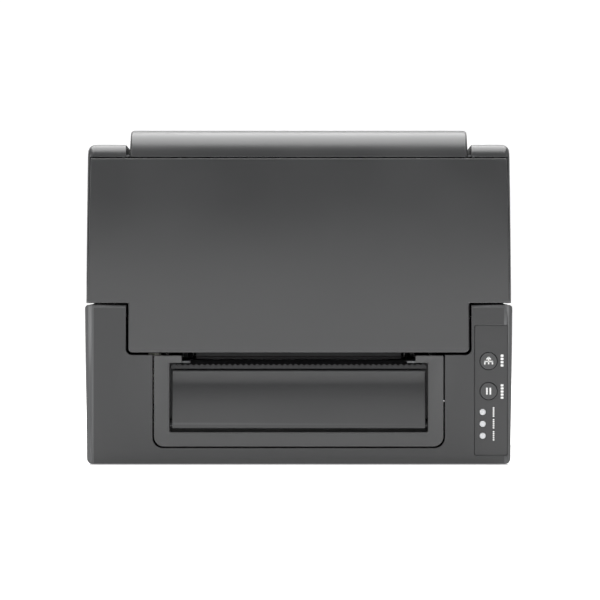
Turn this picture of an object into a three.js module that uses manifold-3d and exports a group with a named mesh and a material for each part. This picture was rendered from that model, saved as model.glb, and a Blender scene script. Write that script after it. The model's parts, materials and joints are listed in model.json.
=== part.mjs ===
// Desktop thermal-transfer label printer with a lift-up lid.
// Millimetres, +Z up. The front faces -Y and the right-hand side is +X.
// The origin is on the ground, under the middle of the box.
import * as THREE from "three";
import { mergeVertices } from "three/addons/utils/BufferGeometryUtils.js";
import Module from "manifold-3d";

const wasm = await Module();
wasm.setup();

// ---------------------------------------------------------------- driving sizes
const bodyWidth = 232; // base at its widest, just under the parting line
const bodyDepth = 286; // front face to back of the lid
const bodyHeight = 182; // ground to the top of the roof hump
const partingZ = 86.8; // top edge of the base
const wall = 2.5; // moulded wall
const gap = 0.3; // between fixed pieces that touch
const seam = 1; // open line between lid and base
const slack = 0.3; // radial room round a turning pin or shaft
const meshSlack = 0.15; // added to each gear centre distance
const footHeight = 0.6; // feet below the case floor

// ---------------------------------------------------------------- sizes of the casing
const baseDraft = 1.2; // each side of the base leans in this much towards the floor
const lidStep = 0.7; // the lid is this much narrower than the base on each side
const lidDraft = 0.4; // each side of the lid leans in this much towards the roof
const edgeRadius = 3; // long bottom edges of the base
const lipRadius = 2; // long top edges of the base
const cornerRadius = 5; // upright corners
const fasciaDepth = 15; // front moulding, front to back
const rearInset = 2; // back wall of the base stands this far inside the lid's back
const humpHalf = 91.8; // half width of the roof hump
const shoulderDrop = 8; // shoulders below the hump
const panelDrop = 14.4; // top of the front panel below the hump
const grooveWidth = 2; // groove between hump and shoulder
const grooveLip = 0.7; // floor of the groove above the top of the panel
const panelLean = THREE.MathUtils.degToRad(14); // front panel at its top edge
const panelInset = 1.5; // front panel inside the lid's side faces
const tongueHalf = 92.4; // half width of the panel's lower tongue
const tongueZ = 61; // bottom of the tongue
const tongueRadius = 2.5;
const tongueGap = 1.3; // between the tongue and the columns
const hingeInset = 8.2; // lid axis ahead of the back of the lid
const barrelRadius = 8; // rounded lower end of the lid's back wall
const troughGap = 0.6; // between the barrel and the base

// ---------------------------------------------------------------- sizes of the front
const bezelHalf = 78.5; // U-shaped snap-in bezel
const bezelBottom = 10;
const bezelTop = 59.4;
const bezelGap = 0.7; // seam round the bezel
const bezelRadius = 5.6;
const bezelDepth = 9.5;
const returnDepth = 9; // walls that run in from the fascia's openings
const recessHalf = 70; // opening of the bezel
const recessBottom = 17.8;
const recessTop = 55.4;
const slotHalf = 63.4; // label exit
const flapSide = 1.3; // gap at each end of the flap
const flapTop = 51.6;
const flapRoot = 1.6; // radius of the flap's lower edge, about its pins
const flapPin = 1;
const tearTop = 55.1; // tips of the tear bar's teeth
const tearPitch = 3;
const tearThick = 1.2;
const stripLeft = 95.2; // control strip
const stripRight = 113.4;
const stripBottom = 5.2;
const stripTop = 76;
const stripPocket = 1.4; // depth of the pocket
const stripThick = 0.8;
const buttonX = 102.9;
const feedZ = 56.4;
const pauseZ = 40.1;
const buttonRadius = 4.6;
const buttonTravel = 0.8;
const ledX = 99.7;
const ledZ = [28.8, 22.4, 15.9];
const ledRadius = 1.75;

// ---------------------------------------------------------------- sizes of the mechanism
const platenRadius = 8;
const platenHalf = 59;
const nipZ = 56.8; // top of the platen, where the label passes
const platenInset = 22; // platen axis behind the front face
const shaftRadius = 3.7;
const bearingRadius = 6;
const chassisHalf = 72; // inner faces of the chassis plates
const chassisThick = 2;
const gearPlane = 76; // inner face of the gears, on the left
const gearWidth = 6;
const gearModule = 1;
const platenTeeth = 22;
const idlerTeeth = 42;
const motorTeeth = 15;
const ribbonIdlerTeeth = 36;
const rewindTeeth = 34;
const motorInset = 68; // motor axis behind the front face
const motorZ = 28.5;
const motorSide = 42;
const motorLength = 34;
const pathTop = 56; // label path plate
const pathHalf = 68;
const mediaHalf = 59; // half of the widest label roll
const rollInset = 85; // roll axis ahead of the back of the lid
const rollZ = 80;
const hubRadius = 12;
const bayHalf = 66; // inner faces of the media bay
const bayFloor = 16.5;
const deckTop = 78;
const ribbonPlate = 66; // inner faces of the ribbon frame's plates
const ribbonThick = 1.5;
const spindleRadius = 9;
const supplyBack = 64; // supply spindle behind the rewind spindle
const headPivotBack = 17; // print head pivot behind the platen axis
const headPivotZ = 72;

// ---------------------------------------------------------------- places worked out from the sizes
const frontY = -bodyDepth / 2;
const backY = bodyDepth / 2;
const halfWidth = bodyWidth / 2;
const caseBottom = footHeight;
const floorTop = caseBottom + wall;
const splitY = frontY + fasciaDepth;
const baseBackY = backY - rearInset;
const lidBottom = partingZ + seam;
const lidHalf = halfWidth - lidStep;
const hingeY = backY - hingeInset;
const hingeZ = partingZ;
const troughRadius = barrelRadius + troughGap;
const panelTop = bodyHeight - panelDrop;
const platenY = frontY + platenInset;
const platenZ = nipZ - platenRadius;
const motorY = frontY + motorInset;
const rollY = backY - rollInset;

// ---------------------------------------------------------------- materials
const finish = (color, roughness, metalness = 0) =>
  new THREE.MeshStandardMaterial({ color, roughness, metalness });
const casing = finish(0x4b4b4c, 0.5);
const innerPlastic = finish(0x2c2d2f, 0.6);
const panelFilm = finish(0x434345, 0.45);
const lens = finish(0xc9cbcc, 0.3);
const rubber = finish(0x17181a, 0.85);
const steel = finish(0xb4b7ba, 0.35, 1);
const sheetMetal = finish(0x9da1a5, 0.45, 1);
const nylon = finish(0xe2e0d8, 0.55);
const boardGreen = finish(0x1f5a3a, 0.5);
const blackMetal = finish(0x1d1e20, 0.4, 0.6);

// ---------------------------------------------------------------- solids
// A closed geometry as a solid that can be joined and cut.
function solid(geometry) {
  const bare = geometry.index ? geometry.toNonIndexed() : geometry.clone();
  bare.deleteAttribute("normal");
  bare.deleteAttribute("uv");
  const merged = mergeVertices(bare, 1e-4);
  const vertProperties = new Float32Array(merged.attributes.position.array);
  const triVerts = new Uint32Array(merged.index.array);
  return new wasm.Manifold(new wasm.Mesh({ numProp: 3, vertProperties, triVerts }));
}

function geometryOf(body) {
  const mesh = body.getMesh();
  const geometry = new THREE.BufferGeometry();
  geometry.setAttribute("position", new THREE.BufferAttribute(new Float32Array(mesh.vertProperties), 3));
  geometry.setIndex(new THREE.BufferAttribute(new Uint32Array(mesh.triVerts), 1));
  const loose = geometry.toNonIndexed();
  loose.computeVertexNormals();
  return loose;
}

const join = (...bodies) => bodies.reduce((all, body) => all.add(body));
const cut = (body, ...tools) => tools.reduce((left, tool) => left.subtract(tool), body);

function box(x0, x1, y0, y1, z0, z1) {
  const geometry = new THREE.BoxGeometry(x1 - x0, y1 - y0, z1 - z0);
  geometry.translate((x0 + x1) / 2, (y0 + y1) / 2, (z0 + z1) / 2);
  return solid(geometry);
}

// The same box on the left and on the right.
const boxPair = (x0, x1, ...rest) => join(box(x0, x1, ...rest), box(-x1, -x0, ...rest));

function extrude(shape, depth, curveSegments) {
  return new THREE.ExtrudeGeometry(shape, { depth, bevelEnabled: false, curveSegments });
}

// An outline in (y, z) carried along X.
function alongX(shape, x0, x1, curveSegments = 3) {
  const geometry = extrude(shape, x1 - x0, curveSegments);
  geometry.applyMatrix4(new THREE.Matrix4().set(0, 0, 1, x0, 1, 0, 0, 0, 0, 1, 0, 0, 0, 0, 0, 1));
  return solid(geometry);
}

// An outline in (x, z) carried along Y.
function alongY(shape, y0, y1, curveSegments = 3) {
  const geometry = extrude(shape, y1 - y0, curveSegments);
  geometry.applyMatrix4(new THREE.Matrix4().set(1, 0, 0, 0, 0, 0, -1, y1, 0, 1, 0, 0, 0, 0, 0, 1));
  return solid(geometry);
}

// An outline in (x, y) carried along Z.
function alongZ(shape, z0, z1, curveSegments = 3) {
  const geometry = extrude(shape, z1 - z0, curveSegments);
  geometry.translate(0, 0, z0);
  return solid(geometry);
}

function circle(a, b, radius) {
  const shape = new THREE.Shape();
  shape.absarc(a, b, radius, 0, 2 * Math.PI, false);
  return shape;
}

// Round bars; a full circle gets two points for each curve segment.
const rodX = (radius, x0, x1, y = 0, z = 0, sides = 20) => alongX(circle(y, z, radius), x0, x1, sides / 2);
const rodY = (radius, y0, y1, x = 0, z = 0, sides = 20) => alongY(circle(x, z, radius), y0, y1, sides / 2);
const rodZ = (radius, z0, z1, x = 0, y = 0, sides = 20) => alongZ(circle(x, y, radius), z0, z1, sides / 2);
const rodXPair = (radius, x0, x1, ...rest) =>
  join(rodX(radius, x0, x1, ...rest), rodX(radius, -x1, -x0, ...rest));

// A rectangle with a radius for its two lower and its two upper corners.
function roundRect(a0, a1, b0, b1, lower, upper = lower) {
  const shape = new THREE.Shape();
  shape.moveTo(a0 + lower, b0);
  shape.lineTo(a1 - lower, b0);
  if (lower > 0) shape.absarc(a1 - lower, b0 + lower, lower, -Math.PI / 2, 0, false);
  shape.lineTo(a1, b1 - upper);
  if (upper > 0) shape.absarc(a1 - upper, b1 - upper, upper, 0, Math.PI / 2, false);
  shape.lineTo(a0 + upper, b1);
  if (upper > 0) shape.absarc(a0 + upper, b1 - upper, upper, Math.PI / 2, Math.PI, false);
  shape.lineTo(a0, b0 + lower);
  if (lower > 0) shape.absarc(a0 + lower, b0 + lower, lower, Math.PI, 1.5 * Math.PI, false);
  return shape;
}

function polygon(points) {
  return new THREE.Shape(points.map(([a, b]) => new THREE.Vector2(a, b)));
}

// ---------------------------------------------------------------- the assembly
const printer = new THREE.Group();
printer.name = "label_printer";

// Puts a solid in the assembly as a named mesh, with its own origin at (x, y, z).
function add(name, body, material, x = 0, y = 0, z = 0) {
  const mesh = new THREE.Mesh(geometryOf(body), material);
  mesh.name = name;
  mesh.position.set(x, y, z);
  printer.add(mesh);
}

// ---------------------------------------------------------------- base
// A block outline in (x, z) whose sides lean from one half width to the other.
function drafted(lowHalf, highHalf, z0, z1, lower, upper) {
  const shape = new THREE.Shape();
  shape.moveTo(-(lowHalf - lower), z0);
  shape.lineTo(lowHalf - lower, z0);
  shape.absarc(lowHalf - lower, z0 + lower, lower, -Math.PI / 2, 0, false);
  shape.lineTo(highHalf, z1 - upper);
  shape.absarc(highHalf - upper, z1 - upper, upper, 0, Math.PI / 2, false);
  shape.lineTo(-(highHalf - upper), z1);
  shape.absarc(-(highHalf - upper), z1 - upper, upper, Math.PI / 2, Math.PI, false);
  shape.lineTo(-lowHalf, z0 + lower);
  shape.absarc(-(lowHalf - lower), z0 + lower, lower, Math.PI, 1.5 * Math.PI, false);
  return shape;
}

// Half the room inside the base at height z.
const insideHalf = (z) => halfWidth - wall - (baseDraft * (partingZ - z)) / (partingZ - caseBottom);

const baseBlock = alongY(
  drafted(halfWidth - baseDraft, halfWidth, caseBottom, partingZ, edgeRadius, lipRadius),
  frontY,
  baseBackY,
).intersect(alongZ(roundRect(-halfWidth, halfWidth, frontY, baseBackY, cornerRadius), 0, bodyHeight));

function baseRoom(y0, y1, top) {
  const outline = drafted(insideHalf(floorTop), insideHalf(partingZ), floorTop, top, 1, 1);
  return alongY(outline, y0, y1);
}

// Sockets along the back edge of the main board.
const boardZ = 12;
const boardThick = 1.6;
const boardTop = boardZ + boardThick;
const boardLeft = 20;
const boardRight = 110;
const boardBack = baseBackY - wall - 1;
const ports = [
  { name: "dc_inlet", x: 30, width: 10, height: 11, depth: 14 },
  { name: "usb_port", x: 46, width: 12, height: 11, depth: 15 },
  { name: "lan_port", x: 64, width: 16, height: 13.5, depth: 17 },
  { name: "serial_port", x: 90.5, width: 31, height: 12.5, depth: 12 },
];
const portBack = baseBackY + 1.2;
const switchX = -88;
const switchZ = 27;
const switchWidth = 22;
const switchHeight = 15;
const foldZ0 = 58; // slot for fan-fold paper in the back
const foldZ1 = 66;
const footRadius = 8;
const footInsetX = 28;
const footInsetY = 32;
const feet = [
  ["foot_front_left", -1, frontY + footInsetY],
  ["foot_front_right", 1, frontY + footInsetY],
  ["foot_rear_left", -1, backY - footInsetY],
  ["foot_rear_right", 1, backY - footInsetY],
];
const footPocket = 1.5;

function bottomCase() {
  const shell = baseBlock.intersect(box(-bodyWidth, bodyWidth, splitY, backY, 0, partingZ));
  const trough = box(
    -insideHalf(partingZ) - gap,
    insideHalf(partingZ) + gap,
    hingeY - troughRadius - wall,
    baseBackY - wall + gap,
    hingeZ - troughRadius - wall,
    partingZ,
  );
  const bosses = [
    [boardRight - 6, -10],
    [boardRight - 6, 60],
    [boardRight - 6, boardBack - 8],
    [boardLeft + 6, boardBack - 8],
  ].map(([x, y]) => rodZ(3, floorTop - gap, boardZ - gap, x, y, 12));
  const portHoles = ports.map((port) =>
    box(
      port.x - port.width / 2 - gap,
      port.x + port.width / 2 + gap,
      baseBackY - wall - 1,
      baseBackY + 1,
      boardTop - gap,
      boardTop + port.height + 2 * gap,
    ),
  );
  const switchHole = box(
    switchX - switchWidth / 2 + 1,
    switchX + switchWidth / 2 - 1,
    baseBackY - wall - 1,
    baseBackY + 1,
    switchZ - switchHeight / 2 + 1,
    switchZ + switchHeight / 2 - 1,
  );
  const pockets = feet.map(([, side, y]) =>
    rodZ(footRadius + gap, 0, caseBottom + footPocket, side * (halfWidth - footInsetX), y, 20),
  );
  return cut(
    join(cut(shell, baseRoom(splitY - 1, baseBackY - wall, partingZ + 6)), trough, ...bosses),
    rodX(troughRadius, -bodyWidth, bodyWidth, hingeY, hingeZ, 32),
    box(-bodyWidth, bodyWidth, hingeY, backY, hingeZ - barrelRadius - gap, bodyHeight),
    box(-slotHalf, slotHalf, baseBackY - wall - 1, backY, foldZ0, foldZ1),
    switchHole,
    ...portHoles,
    ...pockets,
  );
}
add("bottom_case", bottomCase(), casing);

for (const [name, side, y] of feet) {
  const foot = rodZ(footRadius, 0, caseBottom + footPocket - gap, 0, 0, 20);
  add(name, foot, rubber, side * (halfWidth - footInsetX), y);
}

// ---------------------------------------------------------------- front moulding
const boardFront = frontY + 11;
const panelBoardThick = 1.6;

function frontFascia() {
  const block = baseBlock.intersect(box(-bodyWidth, bodyWidth, frontY, splitY - gap, 0, partingZ));
  const low = bezelHalf + bezelGap;
  const high = tongueHalf + tongueGap;
  const ledge = tongueZ - tongueGap;
  const room = cut(
    baseRoom(frontY + wall, splitY + 1, partingZ - wall),
    box(-low - wall, low + wall, frontY, frontY + returnDepth, bezelBottom - bezelGap - wall, ledge),
    box(-high - wall, high + wall, frontY, frontY + returnDepth, ledge - wall, partingZ),
  );
  const bezelOpening = roundRect(-low, low, bezelBottom - bezelGap, partingZ + 1, bezelRadius, 0);
  const pocket = roundRect(stripLeft, stripRight, stripBottom, stripTop, 1);
  const holes = [feedZ, pauseZ].map((z) =>
    rodY(buttonRadius + 0.35, frontY - 1, frontY + wall + 1, buttonX, z),
  );
  const pipes = ledZ.map((z) => rodY(ledRadius + 0.25, frontY - 1, frontY + wall + 1, ledX, z, 16));
  return cut(
    block,
    room,
    alongY(bezelOpening, frontY - 1, splitY + 1),
    box(-high, high, frontY - 1, splitY + 1, ledge, partingZ + 1),
    alongY(pocket, frontY - 1, frontY + stripPocket),
    ...holes,
    ...pipes,
  );
}
add("front_fascia", frontFascia(), casing);

function controlOverlay() {
  const back = frontY + stripPocket - 0.1;
  const sheet = roundRect(stripLeft + gap, stripRight - gap, stripBottom + gap, stripTop - gap, 1);
  const holes = [feedZ, pauseZ].map((z) => rodY(buttonRadius + 0.35, frontY - 1, back + 1, buttonX, z));
  const pipes = ledZ.map((z) => rodY(ledRadius + 0.15, frontY - 1, back + 1, ledX, z, 16));
  return cut(alongY(sheet, back - stripThick, back), ...holes, ...pipes);
}
add("control_overlay", controlOverlay(), panelFilm);

// A cap in the panel, a flange behind the wall and a stem that reaches the board's switch.
const switchReach = 1.2; // plunger of the board's switch
function buttonBody() {
  const cap = rodY(buttonRadius, 0.2, wall + 1);
  const flange = rodY(buttonRadius + 1.4, wall + 0.5, wall + 1.5);
  const stem = rodY(2, wall + 1, boardFront - frontY - switchReach - buttonTravel - 0.2, 0, 0, 12);
  return join(cap, flange, stem);
}
add("feed_button", buttonBody(), panelFilm, buttonX, frontY, feedZ);
add("pause_button", buttonBody(), panelFilm, buttonX, frontY, pauseZ);

["led_ready", "led_error", "led_ribbon"].forEach((name, i) => {
  add(name, rodY(ledRadius, 0.5, boardFront - frontY - gap, 0, 0, 16), lens, ledX, frontY, ledZ[i]);
});

function panelBoard() {
  const board = box(stripLeft + 1, stripRight - 2.5, boardFront, boardFront + panelBoardThick, 10, 70);
  const plungers = [feedZ, pauseZ].map((z) =>
    join(
      rodY(1.6, boardFront - switchReach, boardFront + gap, buttonX, z, 12),
      box(buttonX - 3, buttonX + 3, boardFront - 0.6, boardFront + gap, z - 3, z + 3),
    ),
  );
  return join(board, ...plungers);
}
add("panel_board", panelBoard(), boardGreen);

// ---------------------------------------------------------------- bezel, flap and tear bar
const flapAxisY = frontY + 4;
const flapAxisZ = recessBottom + 3.7;
const flapHalf = recessHalf - flapSide;

function frontBezel() {
  const ring = roundRect(-bezelHalf, bezelHalf, bezelBottom, bezelTop, bezelRadius, 0);
  const back = frontY + bezelDepth;
  return cut(
    alongY(ring, frontY, back),
    box(-recessHalf, recessHalf, frontY - 1, back + 1, recessBottom, recessTop),
    box(-slotHalf, slotHalf, frontY - 1, back + 1, recessTop - 1, bezelTop + 1),
    boxPair(
      recessHalf + wall,
      bezelHalf - wall,
      frontY + wall,
      back + 1,
      recessBottom + wall,
      recessTop - wall,
    ),
    rodXPair(flapPin + slack, recessHalf - 1, recessHalf + wall + 1, flapAxisY, flapAxisZ, 16),
  );
}
add("front_bezel", frontBezel(), casing);

// Seen from the side the flap leans back as it rises, then turns upright at its finger lip.
const flapFoot = 3.2; // the flap's face ahead of its pins
const lipReach = 0.7; // the finger lip ahead of the pins
const waistDrop = 8.2; // where the flap leans back most, below its top
function linerFlap() {
  const height = flapTop - flapAxisZ;
  const waist = height - waistDrop;
  const shape = new THREE.Shape();
  shape.moveTo(flapRoot, 0);
  shape.lineTo(1.2, height - 1);
  shape.quadraticCurveTo(1, height, 0.3, height);
  shape.quadraticCurveTo(-lipReach, height, -lipReach, height - 1.1);
  shape.bezierCurveTo(-0.2, height - 3, -0.4, waist + 2, -0.9, waist);
  shape.bezierCurveTo(-2.5, waist - 7, -flapFoot, waistDrop, -flapFoot, 1);
  shape.quadraticCurveTo(-flapFoot, -flapRoot, 1 - flapFoot, -flapRoot);
  shape.lineTo(0, -flapRoot);
  shape.absarc(0, 0, flapRoot, 1.5 * Math.PI, 2 * Math.PI, false);
  return join(
    alongX(shape, -flapHalf, flapHalf, 6),
    rodXPair(flapPin, flapHalf - 1, recessHalf + wall - 0.4, 0, 0, 16),
  );
}
add("liner_flap", linerFlap(), casing, 0, flapAxisY, flapAxisZ);

function tearBar() {
  const half = recessHalf - 0.4;
  const foot = flapTop + 0.6;
  const teeth = Math.floor((2 * half) / tearPitch);
  const start = (-teeth * tearPitch) / 2;
  const points = [[-half, foot], [half, foot], [half, tearTop - 1], [-start, tearTop - 1]];
  for (let i = teeth; i > 0; i -= 1) {
    points.push([start + (i - 0.5) * tearPitch, tearTop]);
    points.push([start + (i - 1) * tearPitch, tearTop - 1]);
  }
  points.push([-half, tearTop - 1]);
  const tearY = frontY + 3.4;
  return join(
    alongY(polygon(points), tearY, tearY + tearThick),
    box(-slotHalf, slotHalf, tearY + tearThick / 2, frontY + bezelDepth - 2, foot, foot + tearThick),
  );
}
add("tear_bar", tearBar(), blackMetal);

// ---------------------------------------------------------------- gears
// A spur gear about X in its own frame, with a tooth centred at the angle phase in (y, z).
function gearBody(teeth, phase, bore, width) {
  const pitchRadius = (teeth * gearModule) / 2;
  const tip = pitchRadius + 0.85 * gearModule;
  const root = pitchRadius - 1.15 * gearModule;
  const step = (2 * Math.PI) / teeth;
  const at = (radius, angle) => [radius * Math.cos(angle), radius * Math.sin(angle)];
  const points = [];
  for (let i = 0; i < teeth; i += 1) {
    const centre = phase + i * step;
    points.push(at(root, centre - 0.29 * step), at(tip, centre - 0.11 * step));
    points.push(at(tip, centre + 0.11 * step), at(root, centre + 0.29 * step));
  }
  const shape = polygon(points);
  const hole = new THREE.Path();
  hole.absarc(0, 0, bore, 0, 2 * Math.PI, true);
  shape.holes.push(hole);
  return alongX(shape, 0, width, 8);
}

// The tooth angle of a gear that meshes with a driver, across the line between their axes.
function meshPhase(driver, teeth, y, z) {
  const step = (2 * Math.PI) / driver.teeth;
  const towards = Math.atan2(z - driver.z, y - driver.y);
  const share = ((towards - driver.phase) / step) % 1;
  return towards + Math.PI + ((share + 0.5) * 2 * Math.PI) / teeth;
}

const centreDistance = (a, b) => ((a + b) * gearModule) / 2 + meshSlack;

// The axis that lies at two given distances from two others, on the upper side.
function between(a, toA, b, toB) {
  const apart = Math.hypot(b.y - a.y, b.z - a.z);
  const along = (toA ** 2 - toB ** 2 + apart ** 2) / (2 * apart);
  const off = Math.sqrt(toA ** 2 - along ** 2);
  const [uy, uz] = [(b.y - a.y) / apart, (b.z - a.z) / apart];
  return { y: a.y + along * uy - off * uz, z: a.z + along * uz + off * uy };
}

// Drive train: motor, idler, platen, then up through the lid to the ribbon's rewind spindle.
const platenGear = { teeth: platenTeeth, y: platenY, z: platenZ, phase: 0 };
const motorPlace = { y: motorY, z: motorZ };
const idlerPlace = between(
  platenGear,
  centreDistance(platenTeeth, idlerTeeth),
  motorPlace,
  centreDistance(motorTeeth, idlerTeeth),
);
const idlerGear = { teeth: idlerTeeth, ...idlerPlace };
idlerGear.phase = meshPhase(platenGear, idlerTeeth, idlerGear.y, idlerGear.z);
const motorGear = { teeth: motorTeeth, ...motorPlace };
motorGear.phase = meshPhase(idlerGear, motorTeeth, motorGear.y, motorGear.z);

// A gear above another, at an angle from straight up.
function gearAbove(driver, teeth, lean) {
  const reach = centreDistance(driver.teeth, teeth);
  const gear = { teeth, y: driver.y + reach * Math.sin(lean), z: driver.z + reach * Math.cos(lean) };
  gear.phase = meshPhase(driver, teeth, gear.y, gear.z);
  return gear;
}
const ribbonIdler = gearAbove(idlerGear, ribbonIdlerTeeth, THREE.MathUtils.degToRad(-3));
const rewindGear = gearAbove(ribbonIdler, rewindTeeth, THREE.MathUtils.degToRad(5));

const gearX = -gearPlane - gearWidth;
const studRadius = 3;
const gearBore = studRadius + slack;
const placeGear = (name, gear, bore, material) =>
  add(name, gearBody(gear.teeth, gear.phase, bore, gearWidth), material, gearX, gear.y, gear.z);

// ---------------------------------------------------------------- print chassis and platen
const chassisTop = 62;
const chassisFloor = floorTop + gap;
const chassisBack = motorY + motorSide / 2 + 8;
const chassisFront = frontY + bezelDepth + 1.5;
const motorShaft = 2.5;

function printChassis() {
  const toe = splitY + gap;
  const step = bezelBottom + gap + 1;
  const plate = polygon([
    [toe, chassisFloor],
    [chassisBack, chassisFloor],
    [chassisBack, pathTop - 4],
    [platenY + 20, chassisTop],
    [chassisFront + 3, chassisTop],
    [chassisFront, chassisTop - 3],
    [chassisFront, step],
    [toe, step],
  ]);
  const outer = chassisHalf + chassisThick;
  const plates = join(alongX(plate, -outer, -chassisHalf), alongX(plate, chassisHalf, outer));
  const floor = box(-outer, outer, toe, chassisBack - 4, chassisFloor, chassisFloor + chassisThick);
  const apron = box(-outer, outer, toe, toe + chassisThick, chassisFloor, recessBottom + 6);
  const notch = join(
    rodX(bearingRadius + slack, -bodyWidth, bodyWidth, platenY, platenZ),
    box(
      -bodyWidth,
      bodyWidth,
      platenY - bearingRadius - slack,
      platenY + bearingRadius + slack,
      platenZ,
      nipZ + 20,
    ),
  );
  const stud = rodX(studRadius, gearX - 1, -chassisHalf - chassisThick / 2, idlerGear.y, idlerGear.z, 16);
  return join(
    cut(
      join(plates, floor, apron),
      notch,
      rodX(motorShaft + 3, -outer - 1, -chassisHalf + 1, motorY, motorZ, 16),
    ),
    stud,
  );
}
add("print_chassis", printChassis(), sheetMetal);

for (const [name, side] of [["platen_bearing_left", -1], ["platen_bearing_right", 1]]) {
  const bush = cut(
    join(
      rodX(bearingRadius, -chassisThick / 2 - 0.8, chassisThick / 2 + 0.8),
      rodX(bearingRadius + 1.5, chassisThick / 2 + gap, chassisThick / 2 + 1.5),
    ),
    rodX(shaftRadius + slack, -5, 5),
  );
  const turned = side > 0 ? bush.mirror([1, 0, 0]) : bush;
  add(name, turned, nylon, side * (chassisHalf + chassisThick / 2), platenY, platenZ);
}

const rollerBore = shaftRadius + slack;
const rollerSleeve = cut(
  rodX(platenRadius, -platenHalf, platenHalf, 0, 0, 40),
  rodX(rollerBore, -bodyWidth, bodyWidth),
);
add("platen_roller", rollerSleeve, rubber, 0, platenY, platenZ);

const shaftRight = chassisHalf + chassisThick + 3;
const shaftLeft = gearX - 1;
add("platen_shaft", rodX(shaftRadius, shaftLeft, shaftRight), steel, 0, platenY, platenZ);
placeGear("platen_gear", platenGear, shaftRadius + slack, nylon);

placeGear("drive_idler_gear", idlerGear, gearBore, nylon);

function stepperMotor() {
  const half = motorSide / 2;
  const right = -chassisHalf + gap + motorLength;
  const block = roundRect(-half, half, -half, half, 4);
  const body = alongX(block, -chassisHalf + gap, right, 3);
  const pilot = rodX(motorShaft + 2, -chassisHalf - 1, -chassisHalf + gap + 1, 0, 0, 16);
  const axle = rodX(motorShaft, gearX, -chassisHalf, 0, 0, 16);
  return join(body, pilot, axle);
}
add("stepper_motor", stepperMotor(), blackMetal, 0, motorY, motorZ);
placeGear("motor_pinion", motorGear, motorShaft + slack, steel);

// ---------------------------------------------------------------- label path
const pathFront = platenY + platenRadius + 1.5;
const pathBack = rollY - 70;
const pathThick = 1.5;
const guideY = platenY + 66;
const guideSlot = 2;
const sensorY = platenY + 22;
const sensorHalf = 10;

function labelPathPlate() {
  const bend = pathTop - 6;
  const plate = box(-pathHalf, pathHalf, pathFront, pathBack, pathTop - pathThick, pathTop);
  const lip = box(-platenHalf, platenHalf, pathFront, pathFront + pathThick, bend, pathTop);
  const legBottom = chassisFloor + chassisThick + gap;
  const legs = boxPair(pathHalf - 1.5, pathHalf, sensorY, chassisBack - 6, legBottom, pathTop);
  return cut(
    join(plate, lip, legs),
    box(-mediaHalf - 2, mediaHalf + 2, guideY - guideSlot, guideY + guideSlot, pathTop - 5, pathTop + 1),
    box(
      -sensorHalf - gap,
      sensorHalf + gap,
      sensorY - 4 - gap,
      sensorY + 4 + gap,
      pathTop - 5,
      pathTop + 1,
    ),
    // the motor sits under the plate, against the left leg
    box(
      -pathHalf - 1,
      -pathHalf + 3,
      motorY - motorSide / 2 - 1,
      motorY + motorSide / 2 + 1,
      0,
      motorZ + motorSide / 2 + 1,
    ),
  );
}
add("label_path_plate", labelPathPlate(), sheetMetal);
const sensorBody = box(
  -sensorHalf,
  sensorHalf,
  sensorY - 4,
  sensorY + 4,
  pathTop - 7,
  pathTop - 0.1,
);
add("label_sensor", sensorBody, innerPlastic);

// Guide fences run on the path plate, with a shoe under its slot.
const guideTop = pathTop + 8;
function mediaGuide(side) {
  const neck = guideSlot - slack;
  const fence = box(mediaHalf, mediaHalf + 1.6, guideY - 14, guideY + 14, pathTop + gap, guideTop);
  const foot = box(mediaHalf - 8, mediaHalf + 1.6, guideY - 8, guideY + 8, pathTop + gap, pathTop + 1.5);
  const stem = box(mediaHalf - 4, mediaHalf + 1.6, guideY - neck, guideY + neck, pathTop - 4, pathTop + 1);
  const shoeTop = pathTop - pathThick - gap;
  const shoe = box(mediaHalf - 4, mediaHalf + 1.6, guideY - 5, guideY + 5, pathTop - 5, shoeTop);
  const right = join(fence, foot, stem, shoe);
  return side > 0 ? right : right.mirror([1, 0, 0]);
}
add("media_guide_left", mediaGuide(-1), innerPlastic);
add("media_guide_right", mediaGuide(1), innerPlastic);

// ---------------------------------------------------------------- media bay and roll holders
const bayWall = 2;
const bayFront = pathBack + 2;
const bayBack = hingeY - troughRadius - wall - 1;
const deckFront = pathBack - 8;
const armFoot = bayFloor - bayWall - gap;
const rackTop = armFoot - 2.5;
const rackThick = 2.7;
const rackBottom = rackTop - rackThick;
const bayPinionTeeth = 12;
const bayPinionRadius = (bayPinionTeeth * gearModule) / 2;
const neckHalf = 4.6;
const bayStud = 2;

function mediaBay() {
  const outer = bayHalf + bayWall;
  const floor = box(-outer, outer, bayFront, bayBack, bayFloor - bayWall, bayFloor);
  const sides = boxPair(bayHalf, outer, bayFront, bayBack, bayFloor - bayWall, deckTop);
  const front = box(-outer, outer, bayFront, bayFront + bayWall, bayFloor - bayWall, pathTop);
  const back = box(-outer, outer, bayBack - bayWall, bayBack, bayFloor - bayWall, deckTop);
  const rim = insideHalf(deckTop - bayWall) - gap;
  const decks = boxPair(bayHalf, rim, deckFront, bayBack, deckTop - bayWall, deckTop);
  const stud = rodZ(bayStud, rackBottom, bayFloor - 0.5, 0, rollY, 12);
  return join(
    cut(
      join(floor, sides, front, back, decks),
      boxPair(
        2.5,
        bayHalf,
        rollY - neckHalf - 0.4,
        rollY + neckHalf + 0.4,
        bayFloor - bayWall - 1,
        bayFloor + 1,
      ),
      box(-slotHalf, slotHalf, bayBack - bayWall - 1, bayBack + 1, foldZ0, foldZ1),
    ),
    stud,
  );
}
add("media_bay", mediaBay(), innerPlastic);

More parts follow.
